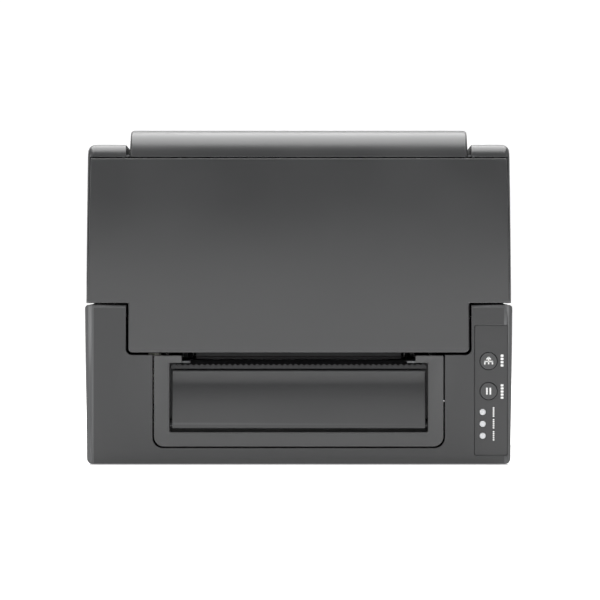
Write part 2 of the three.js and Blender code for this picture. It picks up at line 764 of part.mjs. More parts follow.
// The right-hand roll holder: rack under the bay floor, neck through its slot, arm and hub above.
const rackEnd = 12; // the rack runs this far past the pinion's axis
const armThick = 3;
const armHalf = 26;
function rollHolder() {
  const inner = mediaHalf;
  const outer = mediaHalf + armThick;
  const arm = new THREE.Shape();
  arm.moveTo(-armHalf, bayFloor + gap);
  arm.lineTo(armHalf, bayFloor + gap);
  arm.lineTo(hubRadius + 4, rollZ);
  arm.absarc(0, rollZ, hubRadius + 4, 0, Math.PI, false);
  const plate = alongX(arm, inner, outer, 8);
  const hub = rodX(hubRadius, inner - 8, inner + 1, 0, rollZ, 24);
  const neck = box(inner, outer, -neckHalf, neckHalf, armFoot - 0.5, bayFloor + 1);
  const pitchY = bayPinionRadius + meshSlack;
  const tipY = pitchY - 0.85 * gearModule;
  const rootY = pitchY + 1.15 * gearModule;
  const rackBack = rootY + 5;
  const foot = box(inner, outer, -neckHalf, rackBack, rackTop - 0.5, armFoot);
  const step = Math.PI * gearModule;
  const points = [[-rackEnd, rackBack], [-rackEnd, rootY]];
  // the pinion has a tooth on this side of its axis, so the rack has a gap there
  for (let i = 1 - Math.floor(rackEnd / step); (i + 1) * step < inner; i += 1) {
    const centre = (i - 0.5) * step;
    points.push([centre - 0.29 * step, rootY], [centre - 0.11 * step, tipY]);
    points.push([centre + 0.11 * step, tipY], [centre + 0.29 * step, rootY]);
  }
  points.push([outer, rootY], [outer, rackBack]);
  return join(plate, hub, neck, foot, alongZ(polygon(points), rackBottom, rackTop));
}
add("media_holder_right", rollHolder(), innerPlastic, 0, rollY);
add("media_holder_left", rollHolder(), innerPlastic, 0, rollY);
printer.getObjectByName("media_holder_left").rotation.z = Math.PI;

add("media_pinion", gearBody(bayPinionTeeth, 0, bayStud + slack, rackThick), nylon, 0, rollY, rackBottom);
printer.getObjectByName("media_pinion").rotation.y = -Math.PI / 2;

// ---------------------------------------------------------------- boards, sockets and power switch
function mainBoard() {
  const front = -24;
  const strip = box(boardLeft, boardRight, boardBack - 18, boardBack, boardZ, boardTop);
  const arm = box(bayHalf + bayWall + 4, boardRight, front, boardBack, boardZ, boardTop);
  const chips = [
    [76, -10, 14, 14, 2],
    [94, 4, 10, 20, 2],
    [78, 26, 8, 8, 12],
    [92, 34, 12, 12, 4],
    [76, 60, 16, 10, 2],
    [98, 72, 8, 8, 14],
  ].map(([x, y, w, d, h]) => box(x, x + w, y, y + d, boardTop - gap, boardTop + h));
  return join(strip, arm, ...chips);
}
add("main_board", mainBoard(), boardGreen);

// A socket shell whose open side faces the back; its origin is the middle of its foot.
function socket({ name, width, height, depth }) {
  const half = width / 2;
  const shell = box(-half, half, -depth, 0, gap, height + gap);
  const mid = height / 2 + gap;
  if (name === "dc_inlet") {
    return join(cut(shell, rodY(3.2, -depth + 2, 1, 0, mid)), rodY(1, -depth + 1, -1.5, 0, mid, 12));
  }
  if (name === "serial_port") {
    const dShape = roundRect(-half + 6.2, half - 6.2, mid - 4.2, mid + 4.2, 2);
    const well = roundRect(-half + 7, half - 7, mid - 3.4, mid + 3.4, 1.6);
    const block = box(-half, half, -depth, -depth + 8, gap, height + gap);
    const flange = cut(block, alongY(well, -depth + 3, 1));
    const ring = cut(alongY(dShape, -depth + 7, 0), alongY(well, -depth + 3, 1));
    const pins = [];
    for (let i = 0; i < 9; i += 1) {
      const upper = i < 5;
      const x = upper ? (i - 2) * 2.77 : (i - 6.5) * 2.77;
      pins.push(rodY(0.5, -depth + 2.5, -1.2, x, mid + (upper ? 1.42 : -1.42), 4));
    }
    return join(flange, ring, ...pins);
  }
  const rim = 1;
  const well = cut(shell, box(-half + rim, half - rim, -depth + 2, 1, gap + rim, height + gap - rim));
  const tongue =
    name === "usb_port"
      ? box(-half + 3, half - 3, -depth + 1, -2, mid - 1.5, mid + 1.5)
      : box(-half + 3, half - 3, -depth + 1, -4, gap + rim - 0.2, gap + rim + 2.5);
  return join(well, tongue);
}
for (const port of ports) {
  add(port.name, socket(port), port.name === "dc_inlet" ? innerPlastic : steel, port.x, portBack, boardTop);
}

// The rocker turns about X inside its snap-in frame.
const rockerDepth = 5.5;
const rockerY = portBack - rockerDepth;
function switchFrame() {
  const halfW = switchWidth / 2;
  const halfH = switchHeight / 2;
  const rimFace = box(-halfW, halfW, baseBackY + gap - rockerY, portBack - rockerY, -halfH, halfH);
  const body = box(-halfW + 1.3, halfW - 1.3, -12, baseBackY + 1 - rockerY, -halfH + 1.3, halfH - 1.3);
  const well = box(-halfW + 3, halfW - 3, -9, 10, -halfH + 2.4, halfH - 2.4);
  return join(cut(join(rimFace, body), well), rodX(1, -halfW + 2.5, halfW - 2.5, 0, 0, 12));
}
add("power_switch_frame", switchFrame(), innerPlastic, switchX, rockerY, switchZ);

function rocker() {
  const halfW = switchWidth / 2 - 3 - slack;
  const halfH = switchHeight / 2 - 2.4 - 1.2;
  const shape = new THREE.Shape();
  shape.moveTo(-4, -halfH + 1.5);
  shape.lineTo(2.6, -halfH);
  shape.quadraticCurveTo(rockerDepth - 2.6, 0, rockerDepth - 1.2, halfH);
  shape.lineTo(-4, halfH - 1.5);
  return cut(alongX(shape, -halfW, halfW, 6), rodX(1 + slack, -20, 20, 0, 0, 16));
}
add("power_rocker", rocker(), blackMetal, switchX, rockerY, switchZ);

// ---------------------------------------------------------------- lid hinge
const knuckleX0 = 98;
const knuckleX1 = 106;
const knuckleRadius = 5;
const knuckleGap = 0.7;
const pinRadius = 2.5;
const boreRadius = pinRadius + slack;

for (const [name, side] of [["hinge_bracket_left", -1], ["hinge_bracket_right", 1]]) {
  const width = knuckleX1 - knuckleX0;
  const eye = join(
    rodX(knuckleRadius, 0, width),
    box(0, width, -4, 4, -barrelRadius - 1, 0),
  );
  const body = cut(eye.intersect(rodX(troughRadius - gap, -1, 20, 0, 0, 32)), rodX(boreRadius, -1, 20));
  add(name, side > 0 ? body : body.mirror([1, 0, 0]), innerPlastic, side * knuckleX0, hingeY, hingeZ);
}

const pinInner = knuckleX0 - knuckleGap - wall - 3;
const pinOuter = lidHalf - lidDraft - wall - gap;
add("hinge_pin_left", rodX(pinRadius, -pinOuter, -pinInner), steel, 0, hingeY, hingeZ);
add("hinge_pin_right", rodX(pinRadius, pinInner, pinOuter), steel, 0, hingeY, hingeZ);

// ---------------------------------------------------------------- lid
const panelArc = (panelTop - tongueZ) / Math.sin(panelLean);
const panelTopY = frontY + panelArc * (1 - Math.cos(panelLean));
const rearCurveZ = partingZ + 4;

// The side outline of the lid for a roof of height topZ, moved in by inset:
// curved front, rolled front edge, flat roof and one long arc down to the back.
function roofOutline(topZ, inset, bottomZ) {
  const roll = (topZ - panelTop) / (1 - Math.sin(panelLean));
  const rear = topZ - rearCurveZ;
  const front = panelArc - inset;
  const start = Math.asin((bottomZ - tongueZ) / front);
  const shape = new THREE.Shape();
  const frontCentre = frontY + panelArc;
  shape.moveTo(frontCentre - front * Math.cos(start), bottomZ);
  shape.absarc(frontCentre, tongueZ, front, Math.PI - start, Math.PI - panelLean, true);
  shape.absarc(
    panelTopY + roll * Math.cos(panelLean),
    panelTop - roll * Math.sin(panelLean),
    roll - inset,
    Math.PI - panelLean,
    Math.PI / 2,
    true,
  );
  shape.lineTo(backY - rear, topZ - inset);
  shape.absarc(backY - rear, topZ - rear, rear - inset, Math.PI / 2, 0, true);
  shape.lineTo(backY - inset, bottomZ);
  return shape;
}

// The band that the front panel is cut from, from so far ahead of its face to so far behind it.
function panelBand(ahead, back) {
  const centre = frontY + panelArc;
  const endAngle = Math.PI - panelLean;
  const shape = new THREE.Shape();
  shape.moveTo(frontY - ahead, tongueZ);
  shape.absarc(centre, tongueZ, panelArc + ahead, Math.PI, endAngle, true);
  shape.absarc(centre, tongueZ, panelArc - back, endAngle, Math.PI, false);
  return shape;
}

const lowHalf = lidHalf - panelInset;
const topHalf = lidHalf - lidDraft - panelInset;

function panelFace(grow) {
  const top = panelTop - 2 * gap + grow;
  const low = lowHalf + grow;
  const high = topHalf + grow;
  const tongue = tongueHalf + grow;
  const shape = new THREE.Shape();
  shape.moveTo(-tongue + tongueRadius, tongueZ);
  shape.lineTo(tongue - tongueRadius, tongueZ);
  shape.absarc(tongue - tongueRadius, tongueZ + tongueRadius, tongueRadius, -Math.PI / 2, 0, false);
  shape.lineTo(tongue, lidBottom);
  shape.lineTo(low, lidBottom);
  shape.lineTo(high, top);
  shape.lineTo(-high, top);
  shape.lineTo(-low, lidBottom);
  shape.lineTo(-tongue, lidBottom);
  shape.lineTo(-tongue, tongueZ + tongueRadius);
  shape.absarc(-tongue + tongueRadius, tongueZ + tongueRadius, tongueRadius, Math.PI, 1.5 * Math.PI, false);
  return shape;
}

const panelSolid = (ahead, back, grow) =>
  alongX(panelBand(ahead, back), -lidHalf, lidHalf, 5).intersect(
    alongY(panelFace(grow), frontY - 2 * wall, panelTopY + 3 * wall),
  );

add("lid_front_panel", panelSolid(0, wall, 0), casing);

// A length of the rounded hinge barrel, closed by a disc at each end.
function barrel(x0, x1, hole0, hole1) {
  const ring = cut(
    rodX(barrelRadius, x0, x1, hingeY, hingeZ, 32),
    rodX(barrelRadius - wall, x0 + wall, x1 - wall, hingeY, hingeZ, 32),
    rodX(boreRadius, hole0, hole1, hingeY, hingeZ),
  );
  return ring.intersect(box(-bodyWidth, bodyWidth, hingeY - bodyDepth, backY, 0, lidBottom + 1));
}

const catchY = frontY + 52;
const tongueLength = 12; // latch tongues below the lid's edge
const catchX = 107.5;
const skirtThick = 2;

function lidShell() {
  const shoulderTop = bodyHeight - shoulderDrop;
  const roofHalf = lidHalf - lidDraft - wall;
  const hump = alongX(roofOutline(bodyHeight, 0, lidBottom), -humpHalf, humpHalf, 8);
  const shoulders = alongX(roofOutline(shoulderTop, 0, lidBottom), -lidHalf, lidHalf, 8);
  const sides = drafted(lidHalf, lidHalf - lidDraft, lidBottom - 1, shoulderTop, 0.5, 3.5);
  const groove = boxPair(humpHalf, humpHalf + grooveWidth, frontY, backY, panelTop + grooveLip, bodyHeight);
  const outer = hump.add(cut(shoulders, groove).intersect(alongY(sides, frontY - 1, backY + 1)));
  const humpRoom = alongX(
    roofOutline(bodyHeight, wall, lidBottom - 1),
    -humpHalf + wall,
    humpHalf - wall,
    8,
  );
  const wideRoom = alongX(roofOutline(shoulderTop, 1.1 * wall, lidBottom - 1), -roofHalf, roofHalf, 8);
  const underGroove = boxPair(
    humpHalf - 0.8 * wall,
    humpHalf + grooveWidth + wall,
    frontY,
    backY,
    panelTop + grooveLip - wall,
    bodyHeight,
  );
  const opening = panelSolid(1, 1.6 * wall, gap);
  const shell = cut(outer, humpRoom, cut(wideRoom, underGroove), opening);
  const notch = boxPair(
    knuckleX0 - knuckleGap,
    knuckleX1 + knuckleGap,
    hingeY - barrelRadius - 1,
    backY + 1,
    0,
    hingeZ + barrelRadius + 1.5,
  );
  const middle = knuckleX0 - knuckleGap;
  const end = knuckleX1 + knuckleGap;
  const barrels = join(
    barrel(-middle, middle, -bodyWidth, bodyWidth),
    barrel(end, lidHalf, 0, lidHalf - wall),
    barrel(-lidHalf, -end, -lidHalf + wall, 0),
  );
  const tongues = join(
    boxPair(catchX - 1, catchX + 1, catchY - 6, catchY + 6, partingZ - tongueLength, lidBottom + 20),
    boxPair(catchX - 1, roofHalf + 1, catchY - 6, catchY + 6, lidBottom + 3, lidBottom + 20),
  );
  // a skirt inside the base closes the seam on each side
  const skirt = boxPair(
    roofHalf - skirtThick + 0.5,
    roofHalf + 0.5,
    splitY + 4,
    hingeY - troughRadius - wall - 2,
    partingZ - 3,
    lidBottom + 2,
  );
  return join(cut(shell, notch), barrels, tongues, skirt);
}
add("lid_shell", lidShell(), casing);

// Spring clips on the base grip the lid's tongues.
function latchCatch() {
  const foot = partingZ - tongueLength - 10;
  const clip = box(catchX - 4, insideHalf(foot) - gap, catchY - 6, catchY + 6, foot, partingZ - 5);
  const mouth = box(catchX - 1.4, catchX + 1.4, catchY - 7, catchY + 7, foot + 4, partingZ);
  const slope = polygon([
    [catchX + 3, partingZ - 5 + 1],
    [catchX + 3, foot + 6],
    [insideHalf(foot) + 2, foot + 6],
    [insideHalf(foot) + 2, partingZ - 5 + 1],
  ]);
  return cut(clip, mouth, alongY(slope, catchY - 7, catchY + 7));
}
add("latch_catch_right", latchCatch(), nylon);
add("latch_catch_left", latchCatch().mirror([1, 0, 0]), nylon);

// ---------------------------------------------------------------- ribbon mechanism, carried by the lid
const supplyY = rewindGear.y + supplyBack;
const supplyZ = rewindGear.z - 5;
const pivotY = platenY + headPivotBack;
const plateTop = rewindGear.z + 20;
const roofInside = bodyHeight - wall;
const tieY = (rewindGear.y + supplyY) / 2;
const journalRadius = 3;
const ribbonOuter = ribbonPlate + ribbonThick;
const headTop = 79.5;
const springTop = headTop + 10;
const headShaftRadius = 2;

function ribbonFrame() {
  const plate = polygon([
    [platenY - 5, 66],
    [pivotY + 6, 62],
    [supplyY + 14, supplyZ - 12],
    [supplyY + 14, plateTop - 6],
    [supplyY + 4, plateTop],
    [tieY + 16, plateTop],
    [tieY + 16, roofInside - gap],
    [tieY - 16, roofInside - gap],
    [tieY - 16, plateTop],
    [rewindGear.y - 14, plateTop],
    [platenY - 4, 108],
  ]);
  const plates = join(alongX(plate, ribbonPlate, ribbonOuter), alongX(plate, -ribbonOuter, -ribbonPlate));
  const tie = box(-ribbonOuter, ribbonOuter, tieY - 1, tieY + 1, rewindGear.z - 34, plateTop + 14);
  const shelf = box(-ribbonOuter, ribbonOuter, platenY - 4, platenY + 14, springTop + 3, springTop + 4.5);
  const stud = rodX(studRadius, gearX - 1, -ribbonPlate - 0.5, ribbonIdler.y, ribbonIdler.z, 16);
  const holes = [
    [rewindGear.y, rewindGear.z, journalRadius + slack],
    [supplyY, supplyZ, journalRadius + slack],
    [pivotY, headPivotZ, headShaftRadius + slack],
  ].map(([y, z, radius]) => rodX(radius, -ribbonOuter - 1, ribbonOuter + 1, y, z, 16));
  return join(cut(join(plates, tie, shelf), ...holes), stud);
}
add("ribbon_frame", ribbonFrame(), sheetMetal);
placeGear("ribbon_idler_gear", ribbonIdler, gearBore, nylon);

// A spindle with three drive ribs and a flange at its right-hand end.
function spindle(left, right) {
  const half = ribbonPlate - 1;
  const ribs = [0, 1, 2].map((i) =>
    box(-half + 4, half - 6, -0.8, 0.8, spindleRadius - 2, spindleRadius + 2.5).rotate([i * 120, 0, 0]),
  );
  return join(
    rodX(spindleRadius, -half, half),
    rodX(spindleRadius + 7, half - 3, half),
    rodX(journalRadius, left, right, 0, 0, 16),
    ...ribs,
  );
}
add("ribbon_supply_spindle", spindle(-ribbonOuter - 2, ribbonOuter + 2), innerPlastic, 0, supplyY, supplyZ);
const rewindSpindle = spindle(gearX - 1, ribbonOuter + 2);
add("ribbon_rewind_spindle", rewindSpindle, innerPlastic, 0, rewindGear.y, rewindGear.z);
placeGear("ribbon_rewind_gear", rewindGear, journalRadius + slack, nylon);

// ---------------------------------------------------------------- print head
const headHalf = ribbonPlate - 8;
const headGap = 0.3;

function headBracket() {
  const top = box(-headHalf, headHalf, platenY - 7, pivotY + 4, headTop - 1.5, headTop);
  const ear = polygon([
    [pivotY - 5, headTop],
    [pivotY + 4, headTop],
    [pivotY + 4, headPivotZ - 4],
    [pivotY - 4, headPivotZ - 4],
  ]);
  const ears = join(alongX(ear, headHalf - 1.5, headHalf), alongX(ear, -headHalf, -headHalf + 1.5));
  const lip = box(-headHalf, headHalf, platenY - 7, platenY - 5.5, headTop - 6, headTop);
  const bore = rodX(headShaftRadius + slack, -bodyWidth, bodyWidth, pivotY, headPivotZ, 16);
  return cut(join(top, ears, lip), bore);
}
add("print_head_bracket", headBracket(), sheetMetal);

function printHead() {
  const half = headHalf - 2;
  const bottom = nipZ + headGap;
  const block = box(-half, half, platenY - 4.5, platenY + 9, bottom + 1.4, headTop - 1.5 - gap);
  const bar = box(-half, half, platenY - 3, platenY + 3, bottom, bottom + 1.6);
  const fins = [0, 1, 2].map((i) =>
    box(-half - 1, half + 1, platenY - 2 + 3.5 * i, platenY - 0.5 + 3.5 * i, bottom + 8, headTop - 3),
  );
  return cut(join(block, bar), ...fins);
}
add("print_head", printHead(), blackMetal);
const headShaft = rodX(
  headShaftRadius,
  -ribbonOuter - 1.5,
  ribbonOuter + 1.5,
  pivotY,
  headPivotZ,
  16,
);
add("head_pivot_shaft", headShaft, steel);

// A coil spring along Z, from its own floor up.
function coil(radius, wire, height, turns) {
  class Helix extends THREE.Curve {
    getPoint(t, target = new THREE.Vector3()) {
      const angle = 2 * Math.PI * turns * t;
      return target.set(radius * Math.cos(angle), radius * Math.sin(angle), wire + (height - 2 * wire) * t);
    }
  }
  const section = circle(0, 0, wire);
  return solid(
    new THREE.ExtrudeGeometry(section, { steps: turns * 9, extrudePath: new Helix(), curveSegments: 3 }),
  );
}
for (const [name, side] of [["head_spring_left", -1], ["head_spring_right", 1]]) {
  add(name, coil(3.6, 0.6, springTop - headTop - gap, 4), steel, side * 34, platenY + 3, headTop + gap);
}

export default printer;
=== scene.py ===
# %% [markdown]
# # A desktop label printer
# The frame holds every working piece of the printer as plain solids: case, lid, gears, shafts and boards.
# This lesson gives them their finish, and makes the pieces that show most again with smooth curves.
# The frame's sizes are in metres. New pieces are drawn in millimetres and scaled once. The front faces -Y.

# %% Load the frame
import json
import math

import bmesh
import bpy
from mathutils import Matrix, Vector


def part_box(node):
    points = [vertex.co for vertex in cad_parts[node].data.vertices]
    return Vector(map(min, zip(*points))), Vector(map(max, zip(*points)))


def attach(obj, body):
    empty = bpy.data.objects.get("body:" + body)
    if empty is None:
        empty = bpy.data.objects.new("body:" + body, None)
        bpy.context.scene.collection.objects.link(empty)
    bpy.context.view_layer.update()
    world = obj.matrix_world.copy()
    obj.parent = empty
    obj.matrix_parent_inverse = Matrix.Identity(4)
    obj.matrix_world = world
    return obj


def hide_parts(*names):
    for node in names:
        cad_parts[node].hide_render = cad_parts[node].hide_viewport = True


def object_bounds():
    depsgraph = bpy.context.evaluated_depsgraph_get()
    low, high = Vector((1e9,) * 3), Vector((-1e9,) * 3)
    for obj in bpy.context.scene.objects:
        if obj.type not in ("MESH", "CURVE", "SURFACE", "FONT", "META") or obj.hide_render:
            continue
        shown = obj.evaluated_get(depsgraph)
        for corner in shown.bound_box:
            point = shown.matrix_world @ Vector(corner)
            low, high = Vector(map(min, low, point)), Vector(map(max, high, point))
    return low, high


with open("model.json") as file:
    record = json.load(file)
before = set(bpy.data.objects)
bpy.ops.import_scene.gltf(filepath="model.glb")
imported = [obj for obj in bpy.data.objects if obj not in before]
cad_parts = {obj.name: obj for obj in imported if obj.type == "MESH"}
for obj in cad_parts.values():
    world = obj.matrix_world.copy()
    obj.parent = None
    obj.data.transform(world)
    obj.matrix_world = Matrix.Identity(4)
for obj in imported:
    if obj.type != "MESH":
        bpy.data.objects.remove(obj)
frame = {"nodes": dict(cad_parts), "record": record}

cad_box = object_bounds()
MM = 0.001
print("frame box", [round(v, 4) for corner in cad_box for v in corner])


# %% [markdown]
# ## Writing finishes as sums
# A finish is easier to read as arithmetic than as boxes and wires.
# The class below wraps one output socket, so that a noise value can be multiplied, added and mixed.
# Anything that isn't arithmetic is made by one method, which sets a node's choices and then its inputs.

# %% A socket that can be used in a sum
class Signal:
    def __init__(self, finish, socket):
        self.finish = finish
        self.socket = socket

    def _sum(self, operation, *terms):
        return self.finish.node("ShaderNodeMath", {"operation": operation}, dict(enumerate(terms)))

    def __add__(self, other):
        return self._sum("ADD", self, other)

    def __sub__(self, other):
        return self._sum("SUBTRACT", self, other)

    def __rsub__(self, other):
        return self._sum("SUBTRACT", other, self)

    def __mul__(self, other):
        return self._sum("MULTIPLY", self, other)

    __radd__ = __add__
    __rmul__ = __mul__


# %% A finish: one material and its nodes
class Finish:
    def __init__(self, name):
        self.material = bpy.data.materials.new(name)
        self.material.use_nodes = True
        self.tree = self.material.node_tree
        self.tree.nodes.clear()
        self.place = self.node("ShaderNodeTexCoord", output="Object")

    def node(self, kind, settings=None, inputs=None, output=0):
        made = self.tree.nodes.new(kind)
        for key, value in (settings or {}).items():
            setattr(made, key, value)
        for key, value in (inputs or {}).items():
            if isinstance(value, Signal):
                self.tree.links.new(value.socket, made.inputs[key])
            else:
                made.inputs[key].default_value = value
        return Signal(self, made.outputs[output])

    def noise(self, size, detail=3.0, rough=0.55, stretch=(1, 1, 1)):
        """Soft random values from 0 to 1 whose spots are about size metres across."""
        at = self.node("ShaderNodeMapping", None, {"Vector": self.place, "Scale": stretch})
        inputs = {"Vector": at, "Scale": 1 / size, "Detail": detail, "Roughness": rough}
        return self.node("ShaderNodeTexNoise", None, inputs)

    def span(self, value, low, high, to_low=0.0, to_high=1.0):
        """Moves a value from one range to another, and clamps it there."""
        inputs = {0: value, 1: low, 2: high, 3: to_low, 4: to_high}
        return self.node("ShaderNodeMapRange", {"clamp": True}, inputs)

    def mix(self, share, first, second):
        inputs = {0: share, 6: first, 7: second}
        return self.node("ShaderNodeMix", {"data_type": "RGBA"}, inputs, output=2)

    def edges(self, amount=1.0):
        """One along outer edges, where handling wears a surface and the casings carry a painted highlight,
        and nought elsewhere.
        """
        point = self.node("ShaderNodeNewGeometry", output="Pointiness")
        return self.span(point, 0.52, 0.62, 0.0, amount)

    def bump(self, height, strength, depth):
        inputs = {"Height": height, "Strength": strength, "Distance": depth}
        return self.node("ShaderNodeBump", None, inputs, output="Normal")

    def surface(self, **sockets):
        inputs = {key.replace("_", " "): value for key, value in sockets.items()}
        shader = self.node("ShaderNodeBsdfPrincipled", None, inputs)
        end = self.tree.nodes.new("ShaderNodeOutputMaterial")
        self.tree.links.new(shader.socket, end.inputs["Surface"])
        return self.material


def rgb(level, green=None, blue=None):
    """A colour for a socket: three numbers, or one number for a grey."""
    return (level, level if green is None else green, level if blue is None else blue, 1.0)


def scaled(colour, factor):
    """The same hue, paler or darker."""
    return rgb(*(level * factor for level in colour))


# %% [markdown]
# ## The finishes
# The casing is dark grey moulded plastic, whose tool was sparked to a fine even grain.
# That grain is only bump, since it is a hundredth of a millimetre deep, with a slow drift in gloss
# where hands have polished it, and slightly paler edges, partly wear and partly a painted highlight.
# The other finishes follow the same plan.

# %% Moulded plastics
def moulded(name, colour, rough, grain=0.0006, depth=0.00002, edge_wear_and_highlight=2.2):
    f = Finish(name)
    drift = f.noise(0.06, 2.0)
    fine = f.noise(grain, 2.0, 0.6)
    # Paler edges: partly handling wear, partly a painted highlight along the edges; the small loss of gloss
    # is wear.
    worn = f.edges()
    darkest, palest = scaled(colour, 0.95), scaled(colour, 1.06)
    base = f.mix(f.span(drift, 0.3, 0.7), darkest, palest)
    tone = f.mix(worn, base, scaled(colour, edge_wear_and_highlight))
    gloss = f.span(drift, 0.3, 0.7, rough - 0.03, rough + 0.04) - worn * 0.05
    return f.surface(Base_Color=tone, Roughness=gloss, Normal=f.bump(fine, 0.35, depth))


casing = moulded("casing_plastic", (0.035, 0.0355, 0.0365), 0.54)
bezel_casing = moulded("bezel_plastic", (0.052, 0.0525, 0.0535), 0.5)
lid_casing = moulded("lid_plastic", (0.04, 0.0405, 0.0415), 0.33)
flap_casing = moulded("flap_plastic", (0.025, 0.0255, 0.0265), 0.38)
inner = moulded("inner_plastic", (0.028, 0.029, 0.031), 0.5)
button = moulded("button_plastic", (0.03, 0.0305, 0.0315), 0.42, 0.0004, 0.00001)
nylon = moulded("gear_nylon", (0.7, 0.69, 0.62), 0.45, 0.0008)
# Near black: on the print head and tear bar its darkness also stands in for the painted shade deep in the
# label slot.
near_black_and_slot_shade = moulded("near_black_and_slot_shade", (0.006, 0.006, 0.007), 0.6)


# %% [markdown]
# The control strip is a screen-printed film. It has a faint orange-peel skin and no grain, so its bump
# is softer than the casing's. The lamps' lenses are cloudy pale plastic, and the ink is a rough white
# with very fine specks.

# %% Film, lenses and ink
def film():
    f = Finish("panel_film")
    drift = f.noise(0.02, 2.0)
    orange_peel = f.noise(0.0009, 1.0)
    tone = f.mix(f.span(drift, 0.3, 0.7), rgb(0.028, 0.0285, 0.0295), rgb(0.034, 0.0345, 0.0355))
    gloss = f.span(drift, 0.35, 0.65, 0.42, 0.5)
    return f.surface(Base_Color=tone, Roughness=gloss, Normal=f.bump(orange_peel, 0.12, 0.00001))


def lens():
    f = Finish("led_lens")
    cloud = f.noise(0.0012, 2.0)
    tone = f.mix(cloud, rgb(0.5, 0.51, 0.52), rgb(0.64, 0.65, 0.66))
    gloss = f.span(cloud, 0.3, 0.7, 0.2, 0.34)
    return f.surface(Base_Color=tone, Roughness=gloss, Normal=f.bump(cloud, 0.05, 0.00001))


def ink():
    f = Finish("white_ink")
    speck = f.noise(0.0002, 2.0)
    tone = f.mix(f.span(speck, 0.35, 0.6), rgb(0.62, 0.62, 0.61), rgb(0.85, 0.85, 0.84))
    gloss = f.span(speck, 0.3, 0.7, 0.4, 0.55)
    return f.surface(Base_Color=tone, Roughness=gloss, Normal=f.bump(speck, 0.1, 0.00001))


panel_film, led_lens, white_ink = film(), lens(), ink()


# %% [markdown]
# Rubber collects pale dust in patches. Steel and sheet metal are drawn or ground in one direction, so
# their noise is stretched along it and gives both the bump and part of the gloss. The boards are green
# solder mask over tracks, and a pattern of long narrow bricks stands for the tracks.

# %% Rubber, metals and boards
def rubber_finish():
    f = Finish("rubber")
    dust = f.noise(0.004, 4.0)
    fine = f.noise(0.0005, 2.0)
    tone = f.mix(f.span(dust, 0.55, 0.8, 0.0, 0.5), rgb(0.018, 0.018, 0.02), rgb(0.05, 0.05, 0.05))
    gloss = f.span(dust, 0.3, 0.7, 0.62, 0.8)
    return f.surface(Base_Color=tone, Roughness=gloss, Normal=f.bump(fine, 0.4, 0.00004))


def metal(name, colour, rough, stretch, metallic=1.0, dull=0.75):
    f = Finish(name)
    lines = f.noise(0.0006, 3.0, 0.6, stretch)
    cloud = f.noise(0.02, 3.0)
    worn = f.edges(0.7)
    base = f.mix(f.span(cloud, 0.3, 0.75), rgb(*colour), scaled(colour, dull))
    tone = f.mix(worn, base, rgb(*(min(1, c * 1.3 + 0.02) for c in colour)))
    gloss = f.span(cloud + lines * 0.4, 0.5, 1.0, rough - 0.06, rough + 0.1)
    brushed = f.bump(lines, 0.2, 0.00002)
    return f.surface(Base_Color=tone, Metallic=metallic, Roughness=gloss, Normal=brushed)


def board_finish():
    f = Finish("circuit_board")
    pattern = {"Scale": 220.0, "Mortar Size": 0.06, "Brick Width": 1.6, "Row Height": 0.35}
    track = f.node("ShaderNodeTexBrick", None, {"Vector": f.place, **pattern}, output="Fac")
    cloud = f.noise(0.006, 2.0)
    mask = f.mix(cloud, rgb(0.01, 0.085, 0.035), rgb(0.016, 0.12, 0.05))
    tone = f.mix(track, mask, rgb(0.03, 0.2, 0.09))
    gloss = f.span(cloud, 0.3, 0.7, 0.25, 0.4)
    return f.surface(Base_Color=tone, Roughness=gloss, Normal=f.bump(track, 0.3, 0.00005))


rubber = rubber_finish()
steel = metal("steel", (0.6, 0.6, 0.61), 0.24, (0.02, 1, 1))
sheet = metal("sheet_metal", (0.5, 0.51, 0.52), 0.36, (1, 1, 0.15))
black = metal("black_metal", (0.014, 0.014, 0.015), 0.5, (1, 1, 1), 0.0, 0.85)
board = board_finish()
print("finishes", sorted(m.name for m in bpy.data.materials))


# %% [markdown]
# ## The working pieces
# Gears, shafts, frames and boards keep the shapes that the frame gives them.
# Their meshes are loose triangles, so a chain of modifiers joins them, clears flat areas of needless edges
# and rounds each hard edge a little, which makes it catch the light as a real one does.

# %% Finish the frame's own pieces
def soften(obj, width=0.3):
    """Rounds the hard edges of one of the frame's pieces by width millimetres."""
    for face in obj.data.polygons:
        face.use_smooth = True
    weld = obj.modifiers.new("weld", "WELD")
    weld.merge_threshold = 0.01 * MM
    flat = obj.modifiers.new("flat", "DECIMATE")
    flat.decimate_type = "DISSOLVE"
    flat.angle_limit = math.radians(0.3)
    edge = obj.modifiers.new("edge", "BEVEL")
    edge.width = width * MM
    edge.segments = 2
    edge.limit_method = "ANGLE"
    edge.angle_limit = math.radians(32)
    even = obj.modifiers.new("even", "WEIGHTED_NORMAL")
    even.keep_sharp = True
    even.weight = 80


finish_of = {
    "casing_plastic": casing,
    "inner_plastic": inner,
    "panel_film": panel_film,
    "led_lens": led_lens,
    "rubber": rubber,
    "steel": steel,
    "sheet_metal": sheet,
    "gear_nylon": nylon,
    "circuit_board": board,
    "black_metal": black,
}
slot_of = {p["node"]: p["material_slot"] for p in frame["record"]["subparts"]}
for name, obj in frame["nodes"].items():
    obj.data.materials.clear()
    obj.data.materials.append(finish_of[slot_of[name]])
    soften(obj)
# The print head and tear bar get the near-black finish, which also paints shade into the label slot; the
# power rocker's black is its own colour.
own_finish = {
    "feed_button": button,
    "pause_button": button,
    "print_head": near_black_and_slot_shade,
    "tear_bar": near_black_and_slot_shade,
    "power_rocker": near_black_and_slot_shade,
}
for name, finish in own_finish.items():
    frame["nodes"][name].data.materials[0] = finish
print(len(frame["nodes"]), "pieces of the frame have a finish")


# %% [markdown]
# ## Tools for the moulded covers
# The covers that show most are made again here, because their long curves need smoother steps than
# a working solid has. Each starts as a wire or an outline, which operators sweep, bridge, bend and thicken.
# A finished cover is one object at the origin that rides on the same body as the solid that it stands for.

